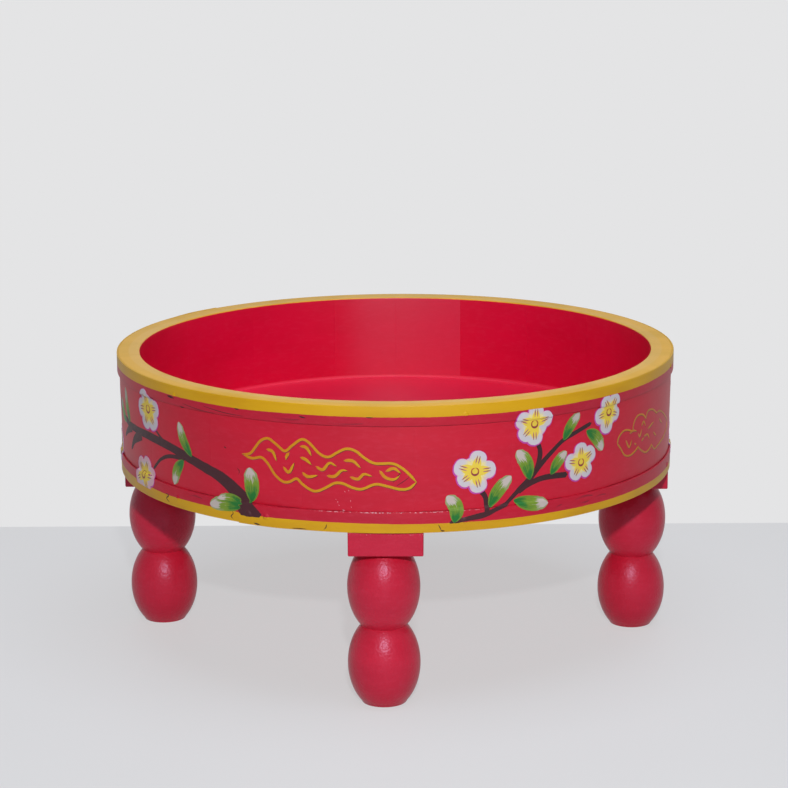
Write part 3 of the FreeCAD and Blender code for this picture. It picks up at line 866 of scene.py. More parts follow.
@dataclass
class Tub:
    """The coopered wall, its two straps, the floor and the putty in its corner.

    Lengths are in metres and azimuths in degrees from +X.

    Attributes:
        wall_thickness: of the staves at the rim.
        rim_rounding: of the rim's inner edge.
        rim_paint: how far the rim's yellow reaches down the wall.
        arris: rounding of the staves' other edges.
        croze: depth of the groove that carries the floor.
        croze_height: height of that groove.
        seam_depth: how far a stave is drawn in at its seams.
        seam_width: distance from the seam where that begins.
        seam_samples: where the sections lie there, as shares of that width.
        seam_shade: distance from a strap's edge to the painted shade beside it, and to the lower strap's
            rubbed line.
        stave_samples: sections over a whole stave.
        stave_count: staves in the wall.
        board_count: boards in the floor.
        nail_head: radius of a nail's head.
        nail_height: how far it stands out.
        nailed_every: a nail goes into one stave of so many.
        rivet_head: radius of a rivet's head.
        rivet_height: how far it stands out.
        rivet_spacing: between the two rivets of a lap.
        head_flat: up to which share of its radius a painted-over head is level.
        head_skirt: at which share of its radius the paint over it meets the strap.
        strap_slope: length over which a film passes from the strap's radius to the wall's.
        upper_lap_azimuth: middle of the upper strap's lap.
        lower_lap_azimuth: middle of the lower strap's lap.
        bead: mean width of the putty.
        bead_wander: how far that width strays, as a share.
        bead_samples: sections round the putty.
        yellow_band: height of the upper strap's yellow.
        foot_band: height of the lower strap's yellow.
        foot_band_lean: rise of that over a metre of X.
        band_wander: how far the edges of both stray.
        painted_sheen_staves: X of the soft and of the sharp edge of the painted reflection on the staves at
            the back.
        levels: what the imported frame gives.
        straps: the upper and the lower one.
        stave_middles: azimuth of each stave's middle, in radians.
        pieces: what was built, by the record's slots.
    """

    wall_thickness: float = 22.4 * MM
    rim_rounding: float = 1.6 * MM
    rim_paint: float = 0.9 * MM
    arris: float = 0.4 * MM
    croze: float = 8 * MM
    croze_height: float = 9.3 * MM
    seam_depth: float = 0.08 * MM
    seam_width: float = 0.9 * MM
    seam_samples: tuple[float, ...] = (0, 0.15, 0.35, 0.6, 1)
    seam_shade: float = 0.3 * MM
    stave_samples: int = 34
    stave_count: int = 18
    board_count: int = 4
    nail_head: float = 3 * MM
    nail_height: float = 0.7 * MM
    nailed_every: int = 3
    rivet_head: float = 3.6 * MM
    rivet_height: float = 1.1 * MM
    rivet_spacing: float = 20 * MM
    head_flat: float = 0.7
    head_skirt: float = 1.2
    strap_slope: float = 1.4 * MM
    upper_lap_azimuth: float = 138.2
    lower_lap_azimuth: float = -117.1
    bead: float = 3.52 * MM
    bead_wander: float = 0.1
    bead_samples: int = 360
    yellow_band: float = 10.8 * MM
    foot_band: float = 9.4 * MM
    foot_band_lean: float = -5 * MM
    band_wander: float = 2.4 * MM
    painted_sheen_staves: tuple[float, float] = (-76 * MM, 78.3 * MM)
    levels: Levels = field(init=False)
    straps: tuple[Strap, Strap] = field(init=False)
    stave_middles: list[float] = field(default_factory=list)
    pieces: dict[str, list[bpy.types.Object]] = field(default_factory=dict)

    def __post_init__(self) -> None:
        """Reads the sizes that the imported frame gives."""
        levels = Levels.read(self.wall_thickness, Strap.thickness + Strap.gap)
        self.levels = levels
        low_radius = levels.lower_radius - Strap.thickness
        self.straps = (
            Strap("upper_hoop", self.upper_lap_azimuth, levels.rim_radius, levels.upper_foot, levels.rim),
            Strap("lower_hoop", self.lower_lap_azimuth, low_radius, levels.foot, levels.lower_top),
        )

    def wall_radius(self, up: np.ndarray) -> np.ndarray:
        """Radius of the wall's outside at a height in metres: a straight cone from foot to rim."""
        levels = self.levels
        share = (up - levels.foot) / (levels.rim - levels.foot)
        return levels.foot_radius + (levels.rim_radius - levels.foot_radius) * share

    def outside(self, azimuth: np.ndarray, up: np.ndarray, margin: float) -> np.ndarray:
        """Radius of the outermost surface, wall or strap, at an azimuth and height.

        Args:
            azimuth: in radians.
            up: height in metres.
            margin: how far before a strap's edge the surface already stands at the strap's radius,
                so that a film laid over the step never cuts its corner; a slope follows.

        Returns:
            The radius in metres.
        """
        radius = self.wall_radius(up)
        for strap in self.straps:
            apart = np.maximum(strap.foot - up, up - strap.top)
            on_strap = np.clip(1 - (apart - margin) / self.strap_slope, 0, 1)
            outer = strap.radius + strap.thickness + strap.rise_at(azimuth, margin)
            radius = radius + (outer - radius) * on_strap
            radius = radius + self.over_heads(strap, azimuth, up)
        return radius

    def heads(self, strap: Strap) -> list[tuple[float, float, float]]:
        """Azimuth, radius and height of each head on a strap: nails in some staves, two rivets in the lap."""
        nailed = self.stave_middles[:: self.nailed_every]
        nails = [(middle, self.nail_head, self.nail_height) for middle in nailed]
        lap = math.radians(strap.lap_azimuth)
        swing = self.rivet_spacing / 2 / strap.radius
        return nails + [(lap + side * swing, self.rivet_head, self.rivet_height) for side in (-1, 1)]

    def over_heads(self, strap: Strap, azimuth: np.ndarray, up: np.ndarray) -> np.ndarray:
        """Rise over a strap's nail and rivet heads: full over a head's flat middle, none past its skirt."""
        level = (strap.foot + strap.top) / 2
        rise = np.zeros(np.broadcast(azimuth, up).shape)
        for middle, radius, height in self.heads(strap):
            aside = ((azimuth - middle + math.pi) % TURN - math.pi) * strap.radius
            inward = self.head_skirt - np.hypot(aside, up - level) / radius
            rise = np.maximum(rise, height * np.clip(inward / (self.head_skirt - self.head_flat), 0, 1))
        return rise

    def stave_section(self) -> np.ndarray:
        """Half section of the wall with its groove for the floor, as (radius, height)."""
        levels = self.levels
        inner, groove = levels.inner_radius, levels.inner_radius + self.croze
        groove_foot = levels.floor_top - self.croze_height
        tiny = self.arris / 4
        return rounded_outline(
            (
                (levels.foot_radius, levels.foot, self.arris),
                (levels.rim_radius, levels.rim, self.arris),
                (inner, levels.rim, self.rim_rounding),
                (inner, levels.floor_top, tiny),
                (groove, levels.floor_top, tiny),
                (groove, groove_foot, tiny),
                (inner, groove_foot, tiny),
                (inner, levels.foot, self.arris),
            )
        )

    def build_stave(self, number: int) -> bpy.types.Object:
        """The section turned through the stave's own angle, drawn in a little at both seams."""
        node = f"stave_{number:02d}"
        points = node_points(node)
        middle = math.atan2(points[:, 1].mean(), points[:, 0].mean())
        azimuth = np.arctan2(points[:, 1], points[:, 0]) - middle
        azimuth = (azimuth + math.pi) % TURN - math.pi
        start, stop = azimuth.min() + middle, azimuth.max() + middle
        self.stave_middles.append((start + stop) / 2)
        edge = np.array(self.seam_samples) * self.seam_width / self.levels.rim_radius
        between = np.linspace(start, stop, self.stave_samples)[1:-1]
        angles = np.concatenate([start + edge, between, stop - edge[::-1]])
        from_seam = np.minimum(angles - start, stop - angles) * self.levels.rim_radius
        drawn_in = self.seam_depth * np.clip(1 - from_seam / self.seam_width, 0, 1) ** 2
        section = self.stave_section()
        shrunk = section[None] - outline_normals(section)[None] * drawn_in[:, None, None]
        body = loft(turned(shrunk[:, :, 0], shrunk[:, :, 1], angles[:, None]))
        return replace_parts(make_piece(f"{node}_painted", [body]), node)

    def build_bead(self) -> bpy.types.Object:
        """A hollow-faced three-sided ring whose width wanders a little round the corner."""
        levels = self.levels
        angles = np.linspace(0, TURN, self.bead_samples, endpoint=False)
        wander = 1 + self.bead_wander * np.sin(5 * angles) * np.sin(3 * angles + 1)
        size = (self.bead * wander)[:, None]
        t = np.linspace(0, 1, 7)[None, :]
        hollow_in = levels.inner_radius - size * (1 - t) ** 2
        hollow_up = levels.floor_top + size * t**2
        corner = np.full_like(size, levels.inner_radius), np.full_like(size, levels.floor_top)
        radius = np.concatenate([hollow_in, corner[0]], axis=1)
        up = np.concatenate([hollow_up, corner[1]], axis=1)
        ring = loft(turned(radius, up, angles[:, None]), closed=True)
        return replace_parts(make_piece("corner_bead_pressed", [ring]), "corner_bead")

    def build(self) -> None:
        """Builds the staves, straps and putty; the boards stay the frame's own."""
        self.pieces["wall_paint"] = [self.build_stave(n + 1) for n in range(self.stave_count)]
        self.pieces["hoop_paint"] = [strap.build() for strap in self.straps]
        self.pieces["corner_putty"] = [self.build_bead()]
        boards = [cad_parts[f"floor_board_{n + 1}"] for n in range(self.board_count)]
        self.pieces["floor_paint"] = boards

    def strap_enamel(self, name: str, **changes: object) -> Enamel:
        """The worn reds and the yellow bands of the straps and of what is painted over with them."""
        return Enamel(
            name,
            yellow_above=self.levels.rim - self.yellow_band,
            yellow_below=self.levels.foot + self.foot_band,
            coat=(Pot.OLD_RED, Pot.DEEP_RED),
            wander=self.band_wander,
            lean=self.foot_band_lean,
            **changes,
        )

    def dress(self) -> None:
        """Red enamel with a painted reflection inside at the back, yellow on the rim and the foot, painted
        shade along the straps' edges.
        """
        levels, shade = self.levels, self.seam_shade
        floor_coat = Pot.DEEP_FLOOR_RED, Pot.FLOOR_RED
        wall = Enamel(
            "wall_enamel",
            yellow_above=levels.rim - self.rim_paint,
            # Thin dark lines of painted shade beside the straps' edges.
            dark_levels=(levels.upper_foot - shade, levels.lower_top + shade),
            outside_of=(levels.inner_radius + levels.rim_radius) / 2,
            # A painted reflection: paler red over the staves at the back of the inside.
            painted_sheen_staves=self.painted_sheen_staves,
            inner_coat=(Pot.DEEP_INNER_RED, Pot.INNER_RED),
            # Paler yellow on the rim's top than on the straps: painted light, standing in for the light and
            # sheen on the top.
            yellows=(Pot.PALE_YELLOW, Pot.YELLOW),
        )
        finishes = {
            "wall_paint": wall,
            "hoop_paint": self.strap_enamel("hoop_enamel", worn_level=levels.lower_top - shade),
            "floor_paint": Enamel("floor_enamel", coat=floor_coat, roughness=0.3, gloss=0.5),
            "corner_putty": Enamel("putty_enamel", coat=floor_coat, roughness=0.55),
        }
        for slot, finish in finishes.items():
            cover(self.pieces[slot], finish.build())


def cover(pieces: Iterable[bpy.types.Object], material: bpy.types.Material) -> None:
    """Gives pieces a material."""
    for piece in pieces:
        piece.data.materials.clear()
        piece.data.materials.append(material)


# The legs


@dataclass
class Leg:
    """A leg with two turned egg-shaped beads under a square head that is notched inside the wall.

    Attributes:
        node: the node that it stands for.
        azimuth: its place round the tub, in degrees from +X.
        circle: distance of its middle from the tub's axis; this and the lengths below are in metres.
        bead_radius: of both beads at their widest.
        bead_overlap: how far one egg reaches into the other.
        foot_cut: what is cut off the lower egg for the foot.
        foot_rounding: how far in and how far up the foot's edge is rounded.
        neck_cut: what the head hides of the upper egg.
        neck_share: share of that which is built.
        rings: sections up the beads.
        facets: points round one of them.
        head_foot: height of the head's underside.
        head_side: width of the square head.
        head_offset: how far it sits to one side of the beads.
        head_setback: how far it sits nearer the tub's axis.
        head_turn: how far it is turned, in degrees.
        side_samples: points along each side of its step.
        arris: rounding of its edges.
        screw_stand: how far the head stays off the screws' heads.
    """

    node: str
    azimuth: float
    circle: float
    bead_radius: float = 36.5 * MM
    bead_overlap: float = 22.4 * MM
    foot_cut: float = 9.4 * MM
    foot_rounding: tuple[float, float] = (0.8 * MM, 0.7 * MM)
    neck_cut: float = 10.2 * MM
    neck_share: float = 0.4
    rings: int = 120
    facets: int = 112
    head_foot: float = 160.8 * MM
    head_side: float = 74.2 * MM
    head_offset: float = 2.7 * MM
    head_setback: float = 2 * MM
    head_turn: float = 1.9
    side_samples: int = 30
    arris: float = 1.5 * MM
    screw_stand: float = 0.06 * MM

    @property
    def half_height(self) -> float:
        """Half the height of one bead's whole egg."""
        return (self.head_foot + self.foot_cut + self.neck_cut + self.bead_overlap) / 4

    def to_table(self, points: np.ndarray) -> np.ndarray:
        """Points of the leg's own frame, +X away from the tub's axis, placed in the table's frame."""
        turn = math.radians(self.azimuth)
        x = points[..., 0] + self.circle
        y = points[..., 1]
        across = x * math.cos(turn) - y * math.sin(turn)
        deep = x * math.sin(turn) + y * math.cos(turn)
        return np.stack([across, deep, points[..., 2]], axis=-1)

    def beads(self) -> Shell:
        """A circle carried up the leg, its radius the larger of two upright ellipses."""
        half = self.half_height
        centres = half - self.foot_cut, self.head_foot + self.neck_cut - half
        top = self.head_foot + self.neck_cut * self.neck_share
        up = np.unique(np.concatenate([np.linspace(0, top, self.rings), [sum(centres) / 2]]))
        reach = [np.sqrt(np.clip(1 - ((up - centre) / half) ** 2, 0, 1)) for centre in centres]
        radius = self.bead_radius * np.maximum(*reach)
        drawn_in, raised = self.foot_rounding
        radius[0] -= drawn_in
        up[1] = raised
        angles = np.linspace(0, TURN, self.facets, endpoint=False)
        return loft(self.to_table(turned(radius[:, None], up[:, None], angles[None, :])))

    def prism(self, outline: np.ndarray, low: float, high: float) -> Shell:
        """An outline carried straight up, drawn in at both ends by a rounded arris."""
        t = np.linspace(0, math.pi / 2, 5)
        inset = self.arris * np.concatenate([1 - np.sin(t), 1 - np.sin(t[::-1])])
        up = np.concatenate([low + self.arris * (1 - np.cos(t)), high - self.arris * (1 - np.cos(t[::-1]))])
        drawn = outline[None] - outline_normals(outline)[None] * inset[:, None, None]
        levels = np.broadcast_to(up[:, None, None], (*drawn.shape[:2], 1))
        return loft(self.to_table(np.concatenate([drawn, levels], axis=2)))

    def head(self, wall_foot: float, floor_underside: float, clear_radius: float) -> list[Shell]:
        """The square block below the wall, and the smaller step that stands inside the wall."""
        half = self.head_side / 2
        turn = math.radians(self.head_turn)
        corners = np.array([(half, half), (-half, half), (-half, -half), (half, -half)])
        square = rounded_outline([(x, y, self.arris) for x, y in corners])
        share = np.linspace(0, 1, self.side_samples, endpoint=False)[None, :, None]
        following = np.roll(corners, -1, axis=0)
        dense = (corners[:, None] * (1 - share) + following[:, None] * share).reshape(-1, 2)
        rotation = np.array([[math.cos(turn), math.sin(turn)], [-math.sin(turn), math.cos(turn)]])
        middle = np.array([-self.head_setback, self.head_offset])
        tub_axis = np.array([-self.circle, 0])
        step = dense @ rotation + middle - tub_axis
        reach = np.linalg.norm(step, axis=1, keepdims=True)
        step = step * np.minimum(1, clear_radius / reach) + tub_axis
        return [
            self.prism(square @ rotation + middle, self.head_foot + self.screw_stand, wall_foot),
            self.prism(step, wall_foot - 2 * self.arris, floor_underside),
        ]

    def build(self, wall_foot: float, floor_underside: float, clear_radius: float) -> bpy.types.Object:
        """Joins beads and head in one piece."""
        shells = [self.beads(), *self.head(wall_foot, floor_underside, clear_radius)]
        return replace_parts(make_piece(f"{self.node}_turned", shells), self.node)


@dataclass
class Legs:
    """The four legs, and the screws that hold their heads.

    Attributes:
        azimuths: place of each leg round the tub, in degrees from +X.
        notch_clearance: between a head's step and the inside of the wall, in metres.
        worn_drop: how far under the wall's foot the heads are rubbed, in metres.
        pieces: the legs that were built.
    """

    azimuths: dict[str, float] = field(
        default_factory=lambda: {"front": -92.8, "right": -2.8, "back": 92.2, "left": 177.2}
    )
    notch_clearance: float = 0.3 * MM
    worn_drop: float = 2.6 * MM
    pieces: list[bpy.types.Object] = field(default_factory=list)

    def build(self, tub: Tub) -> None:
        """Builds each leg at its own azimuth, on a circle that brings its head flush with the wall."""
        levels = tub.levels
        circle = levels.foot_radius - Leg.head_side / 2
        underside = float(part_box("floor_board_2")[0].z)
        clear = levels.inner_radius - self.notch_clearance
        for side, azimuth in self.azimuths.items():
            leg = Leg(f"{side}_leg", azimuth, circle)
            self.pieces.append(leg.build(levels.foot, underside, clear))

    def dress(self) -> None:
        """Red enamel with a pimpled skin, and plated steel on the screws."""
        enamel = Enamel(
            "leg_enamel",
            coat=(Pot.DEEP_LEG_RED, Pot.LEG_RED),
            roughness=0.36,
            gloss=0.42,
            brush_depth=0.1 * MM,
            peel=4,
            glint=(222, 216, 255),
            worn_level=float(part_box("stave_01")[0].z) - self.worn_drop,
            worn_from=0.62,
        )
        cover(self.pieces, enamel.build())
        cover([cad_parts["leg_screws"]], Metal("screw_plating").build())


@dataclass(frozen=True)
class Fasteners:
    """The nails and rivets of the straps, painted over with them, and the floor's hidden dowels."""

    nodes: tuple[str, ...] = (
        "upper_hoop_nails",
        "lower_hoop_nails",
        "upper_hoop_rivets",
        "lower_hoop_rivets",
    )

    def dress(self, tub: Tub) -> None:
        """The straps' own enamel on each head, and bare wood on the dowels."""
        enamel = tub.strap_enamel("fastener_enamel", roughness=0.6)
        cover([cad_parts[node] for node in self.nodes], enamel.build())
        cover([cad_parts["floor_dowels"]], BareWood("dowel_wood_bare").build())


# The painting on the wall


class Layer(Enum):
    """Height of a film of paint over the wall in millimetres: what was painted later lies higher."""

    BRANCH = 0.06
    LEAF = 0.13
    LILAC = 0.17
    PETAL = 0.36
    STAR = 0.52
    MARK = 0.7
    LINE_SHADE = 0.1
    LINE = 0.18
    WEAR = 0.05


def smooth_path(points: Sequence[Place], spacing: float) -> np.ndarray:
    """A curve through points, resampled at even distances.

    Args:
        points: places on the wall, in millimetres.
        spacing: distance between samples, in millimetres.

    Returns:
        Places of shape (samples, 2). Between two points it is the cubic whose slope at each point is
        half the line between that point's neighbours.
    """
    given = np.array(points, float)
    ends = 2 * given[0] - given[1], 2 * given[-1] - given[-2]
    padded = np.concatenate([[ends[0]], given, [ends[1]]])
    a, b, c, d = padded[:-3], padded[1:-2], padded[2:-1], padded[3:]
    steps_between = 24
    t = np.linspace(0, 1, steps_between, endpoint=False)[None, :, None]
    a, b, c, d = (part[:, None, :] for part in (a, b, c, d))
    cubic = b + 0.5 * t * (c - a + t * (2 * a - 5 * b + 4 * c - d + t * (3 * (b - c) + d - a)))
    dense = np.concatenate([cubic.reshape(-1, 2), given[-1:]])
    passed = np.concatenate([[0], np.cumsum(np.linalg.norm(np.diff(dense, axis=0), axis=1))])
    even = np.linspace(0, passed[-1], max(int(passed[-1] / spacing) + 2, 5))
    return np.stack([np.interp(even, passed, dense[:, axis]) for axis in (0, 1)], axis=1)


def bow(u: np.ndarray, skew: float, bluntness: float, roundness: float, least: float) -> np.ndarray:
    """Half width of a dab along its length, as a share of its greatest.

    Args:
        u: place along the dab, 0 to 1.
        skew: power of u; over 1 the dab is fullest past its middle.
        bluntness: power of the distance from the fullest place; the higher, the blunter the ends.
        roundness: power of the whole; a half makes round ends.
        least: lowest value that this power is taken of.

    Returns:
        One minus the distance from the fullest place to the power of the bluntness, to that of the
        roundness.
    """
    return np.clip(1 - np.abs(2 * u**skew - 1) ** bluntness, least, 1) ** roundness


def moved(places: Iterable[Place], along: float, up: float = 0) -> tuple[Place, ...]:
    """Places shifted round the wall and up it, in millimetres."""
    return tuple((x + along, y + up) for x, y in places)


@dataclass
class Wall:
    """The wall as a sheet to paint on. Lengths are in millimetres.

    Attributes:
        tub: whose wall it is.
        spacing: between samples along a stroke and across it.
        doming: how much higher the middle of a film stands than its edges.
        sunk: how deep its underside lies in the wall.
        red_zone: heights between which the sprays were painted.
        squeeze: share that is left of what reaches over that zone.
        strap_margin: distance before a strap's edge at which a film already stands at its radius.
        line_end: width of a line's very end, as a share.
        stroke_end: the same for a tapered stroke.
        end_samples: samples over which such a stroke closes.
        raggedness: how far its width strays, as a share.
        ragged_every: samples between two such changes.
    """

    tub: Tub
    spacing: float = 0.8
    doming: float = 0.05
    sunk: float = 0.1
    red_zone: tuple[float, float] = (8.4, 116.4)
    squeeze: float = 0.02
    strap_margin: float = 0.9
    line_end: float = 0.12
    stroke_end: float = 0.1
    end_samples: int = 3
    raggedness: float = 0.04
    ragged_every: int = 8

    def drape(self, flat: np.ndarray, lift: np.ndarray) -> np.ndarray:
        """Puts places of the sheet, in millimetres, on the wall or strap behind them.

        Args:
            flat: places, shape (..., 2).
            lift: height over the surface in millimetres, broadcast against the places.

        Returns:
            Points in metres: angle is the distance along divided by the rim's radius. The yellow was
            painted last, so what reaches over the red zone is squeezed up against its edge.
        """
        levels = self.tub.levels
        azimuth = flat[..., 0] * MM / levels.rim_radius - math.pi / 2
        inside = np.clip(flat[..., 1], *self.red_zone)
        up = levels.foot + (inside + (flat[..., 1] - inside) * self.squeeze) * MM
        radius = self.tub.outside(azimuth, up, self.strap_margin * MM) + lift * MM
        return turned(radius, up, azimuth)

    def stroke(self, path: np.ndarray, half_width: np.ndarray, lift: float) -> Shell:
        """A film of paint along a path, thickest in its middle, its edges sunk into the wall.

        Args:
            path: places of shape (samples, 2).
            half_width: half the stroke's width at each sample, in millimetres.
            lift: height of the film's edge over the wall, in millimetres.

        Returns:
            A closed surface: across the stroke the height is lift plus doming times one minus the
            fourth power of the distance from the middle.
        """
        along = np.gradient(path, axis=0)
        along /= np.maximum(np.linalg.norm(along, axis=1, keepdims=True), TINY)
        normal = np.stack([-along[:, 1], along[:, 0]], axis=1)
        columns = max(int(2 * half_width.max() / self.spacing) + 2, 4)
        v = np.linspace(-1, 1, columns)
        flat = path[:, None] + normal[:, None] * (v[None, :] * half_width[:, None])[..., None]
        top = self.drape(flat, lift + self.doming * (1 - v[None, :] ** 4))
        under = self.drape(flat[:, ::-1], np.full((1, columns), -self.sunk))
        shell = loft(np.concatenate([top, under], axis=1))
        u = np.repeat(np.linspace(0, 1, len(path)), 2 * columns)
        across = MID_STROKE * (1 + np.concatenate([v, v[::-1]]))
        shell.uv = np.stack([u, np.tile(across, len(path))], axis=1)
        return shell

    def line(self, points: Sequence[Place], width: float, lift: float, taper: float) -> Shell:
        """A stroke of even width that thins over a share of its length at both ends."""
        path = smooth_path(points, self.spacing)
        u = np.linspace(0, 1, len(path))
        swell = np.clip(np.minimum(u, 1 - u) / taper, self.line_end, 1) ** 0.6
        return self.stroke(path, width / 2 * swell, lift)

    def tapered(self, points: Sequence[Place], widths: Sequence[float], lift: float, seed: int) -> Shell:
        """A stroke whose width runs through the given widths, with slightly ragged edges."""
        path = smooth_path(points, self.spacing)
        u = np.linspace(0, 1, len(path))
        width = np.interp(u, np.linspace(0, 1, len(widths)), widths)
        rng = np.random.default_rng(seed)
        knots = max(len(path) // self.ragged_every, 4)
        strays = rng.uniform(-self.raggedness, self.raggedness, knots)
        ragged = np.interp(u, np.linspace(0, 1, knots), strays)
        closing = np.clip(np.minimum(u, 1 - u) * len(path) / self.end_samples, self.stroke_end, 1)
        return self.stroke(path, width / 2 * (1 + ragged) * closing, lift)


@dataclass(frozen=True)
class Leaf:
    """A leaf laid in one stroke from its base to its tip.

    Attributes:
        base: place where it leaves the branch.
        tip: place of its end.
        width: at its fullest, in millimetres.
        bend: how far its middle lies to the left, as a share of its length.
        fraying: how ragged its tip is, as a share of its width.
        frayed_from: where along it that begins.
    """

    base: Place
    tip: Place
    width: float
    bend: float = 0.08
    fraying: float = 0.05
    frayed_from: float = 0.7

    def build(self, wall: Wall) -> Shell:
        """A bent line whose half width is a blunt bow, slim at the base, fullest past the middle."""
        base, tip = np.array(self.base, float), np.array(self.tip, float)
        middle = (base + tip) / 2 + np.array([base[1] - tip[1], tip[0] - base[0]]) * self.bend
        path = smooth_path([tuple(base), tuple(middle), tuple(tip)], wall.spacing)
        u = np.linspace(0, 1, len(path))
        full = bow(u, skew=1.15, bluntness=2.5, roundness=0.6, least=0.01)
        frayed = 1 + self.fraying * np.sin(u * 31 + base[0]) * (u > self.frayed_from)
        return wall.stroke(path, self.width / 2 * full * frayed, Layer.LEAF.value)


@dataclass(frozen=True)
class Flower:
    """A blossom with round petals that have grown together, a rayed star and a ringed middle.

    Attributes:
        centre: place of its middle.
        petals: (direction in degrees, distance to its end) of each petal.
        pink: True for the blushing one.
        heart: radius of the disc where the petals meet, as a share of their mean reach.
        petal_width: half a petal's width, as a share of its reach.
        petal_reach: places of the points of a petal's middle line, as shares of its reach.
        film_step: how much higher each next film of the blossom lies, in millimetres.
        edging_growth: how far the lilac reaches past the petals, in millimetres.
        edging_shift: how far it is shifted, in millimetres.
        star_disc: radius of the star's disc, as a share of the petals' mean reach.
        ray_width: width of a ray at its start, middle and end, as shares of its petal's reach.
        ray_reach: places along the petal of those three.
        eye: radius of the ring, as a share of the petals' mean reach.
        eye_widths: width of the ring from its top round to its top, in millimetres.
        mark_reach: places of a mark's points along the petal.
        mark_aside: distance of the two marks from the petal's middle, in millimetres.
        mark_width: of a mark, in millimetres.
    """

    centre: Place
    petals: tuple[tuple[float, float], ...]
    pink: bool = False
    heart: float = 0.7
    petal_width: float = 0.41
    petal_reach: tuple[float, float, float] = (0.04, 0.52, 1)
    film_step: float = 0.01
    edging_growth: float = 0.9
    edging_shift: Place = (-0.35, -0.5)
    star_disc: float = 0.29
    ray_width: tuple[float, float, float] = (0.44, 0.42, 0.2)
    ray_reach: tuple[float, float, float] = (0.05, 0.42, 0.8)
    eye: float = 0.17
    eye_widths: tuple[float, ...] = (1.2, 1.3, 2.1, 1.3, 1.2)
    mark_reach: tuple[float, float, float] = (0.38, 0.56, 0.76)
    mark_aside: float = 1.4
    mark_width: float = 1

    def at(self, degrees: float, distance: float, aside: float = 0) -> Place:
        """The place at a distance from the middle in a direction, moved aside to its left."""
        angle = math.radians(degrees)
        across = self.centre[0] + distance * math.cos(angle) - aside * math.sin(angle)
        return across, self.centre[1] + distance * math.sin(angle) + aside * math.cos(angle)

    @property
    def radius(self) -> float:
        """The petals' mean reach."""
        return sum(reach for _, reach in self.petals) / len(self.petals)

    def disc(self, wall: Wall, radius: float, lift: float, paint_at: float) -> Shell:
        """A round dab about the middle: a level stroke whose half width is the circle's height.

        Args:
            wall: what it is painted on.
            radius: of the dab, in millimetres.
            lift: height over the wall, in millimetres.
            paint_at: the share of a stroke's length whose paint it gets all over.

        Returns:
            The dab.
        """
        path = smooth_path([self.at(180, radius), self.centre, self.at(0, radius)], wall.spacing)
        u = np.linspace(-1, 1, len(path))
        shell = wall.stroke(path, radius * np.sqrt(np.clip(1 - u**2, 0.001, 1)), lift)
        shell.uv[:, 0] = paint_at
        return shell

    def outline(self, wall: Wall, growth: float, lift: float) -> list[Shell]:
        """The whole blossom's films: strokes from the middle whose half width is a blunt bow, and a disc."""
        shells = [self.disc(wall, self.heart * self.radius + growth, lift, paint_at=1)]
        for number, (degrees, distance) in enumerate(self.petals):
            reach = distance + growth
            path = smooth_path([self.at(degrees, part * reach) for part in self.petal_reach], wall.spacing)
            u = np.linspace(0, 1, len(path))
            full = bow(u, skew=1.25, bluntness=2.4, roundness=0.5, least=0.004)
            half_width = (self.petal_width * distance + growth) * full
            shells.append(wall.stroke(path, half_width, lift + self.film_step * (number + 1)))
        return shells

    def edging(self, wall: Wall) -> list[Shell]:
        """The lilac under the petals, larger and shifted down to the left, so that it shows most there."""
        across, up = self.edging_shift
        shifted = Flower((self.centre[0] + across, self.centre[1] + up), self.petals)
        return shifted.outline(wall, self.edging_growth, Layer.LILAC.value)

    def star(self, wall: Wall) -> list[Shell]:
        """A ray along each petal and a disc."""
        shells = [self.disc(wall, self.star_disc * self.radius, Layer.STAR.value, paint_at=0)]
        for number, (degrees, reach) in enumerate(self.petals):
            ray = [self.at(degrees, part * reach) for part in self.ray_reach]
            widths = [share * reach for share in self.ray_width]
            lift = Layer.STAR.value + self.film_step * number
            shells.append(wall.tapered(ray, widths, lift, seed=number))
        return shells

    def ring(self, wall: Wall) -> list[Shell]:
        """A line round the middle, thickest below."""
        around = [self.at(float(degrees), self.eye * self.radius) for degrees in np.linspace(90, 450, 13)]
        return [wall.tapered(around, self.eye_widths, Layer.MARK.value, seed=5)]

    def marks(self, wall: Wall) -> list[Shell]:
        """A pair of short lines along each ray."""
        shells = []
        for degrees, reach in self.petals:
            for aside in (-self.mark_aside, self.mark_aside):
                pair = [self.at(degrees, part * reach, aside) for part in self.mark_reach]
                shells.append(wall.line(pair, self.mark_width, Layer.MARK.value, taper=0.3))
        return shells


@dataclass(frozen=True)
class Branch:
    """A painted branch or twig, from its thick end to its thin end."""

    points: tuple[Place, ...]
    widths: tuple[float, ...]

    def build(self, wall: Wall, seed: int) -> Shell:
        """A stroke with ragged edges."""
        return wall.tapered(self.points, self.widths, Layer.BRANCH.value, seed)


@dataclass(frozen=True)
class Spray:
    """Branches with their leaves and flowers."""

    name: str
    branches: tuple[Branch, ...]
    leaves: tuple[Leaf, ...]
    flowers: tuple[Flower, ...]

    def shifted(self, name: str, along: float) -> "Spray":
        """The same spray farther round the wall."""
        branches = tuple(Branch(moved(b.points, along), b.widths) for b in self.branches)
        leaves = tuple(Leaf(*moved((f.base, f.tip), along), f.width, f.bend) for f in self.leaves)
        flowers = tuple(Flower(*moved([f.centre], along), f.petals, f.pink) for f in self.flowers)
        return Spray(name, branches, leaves, flowers)


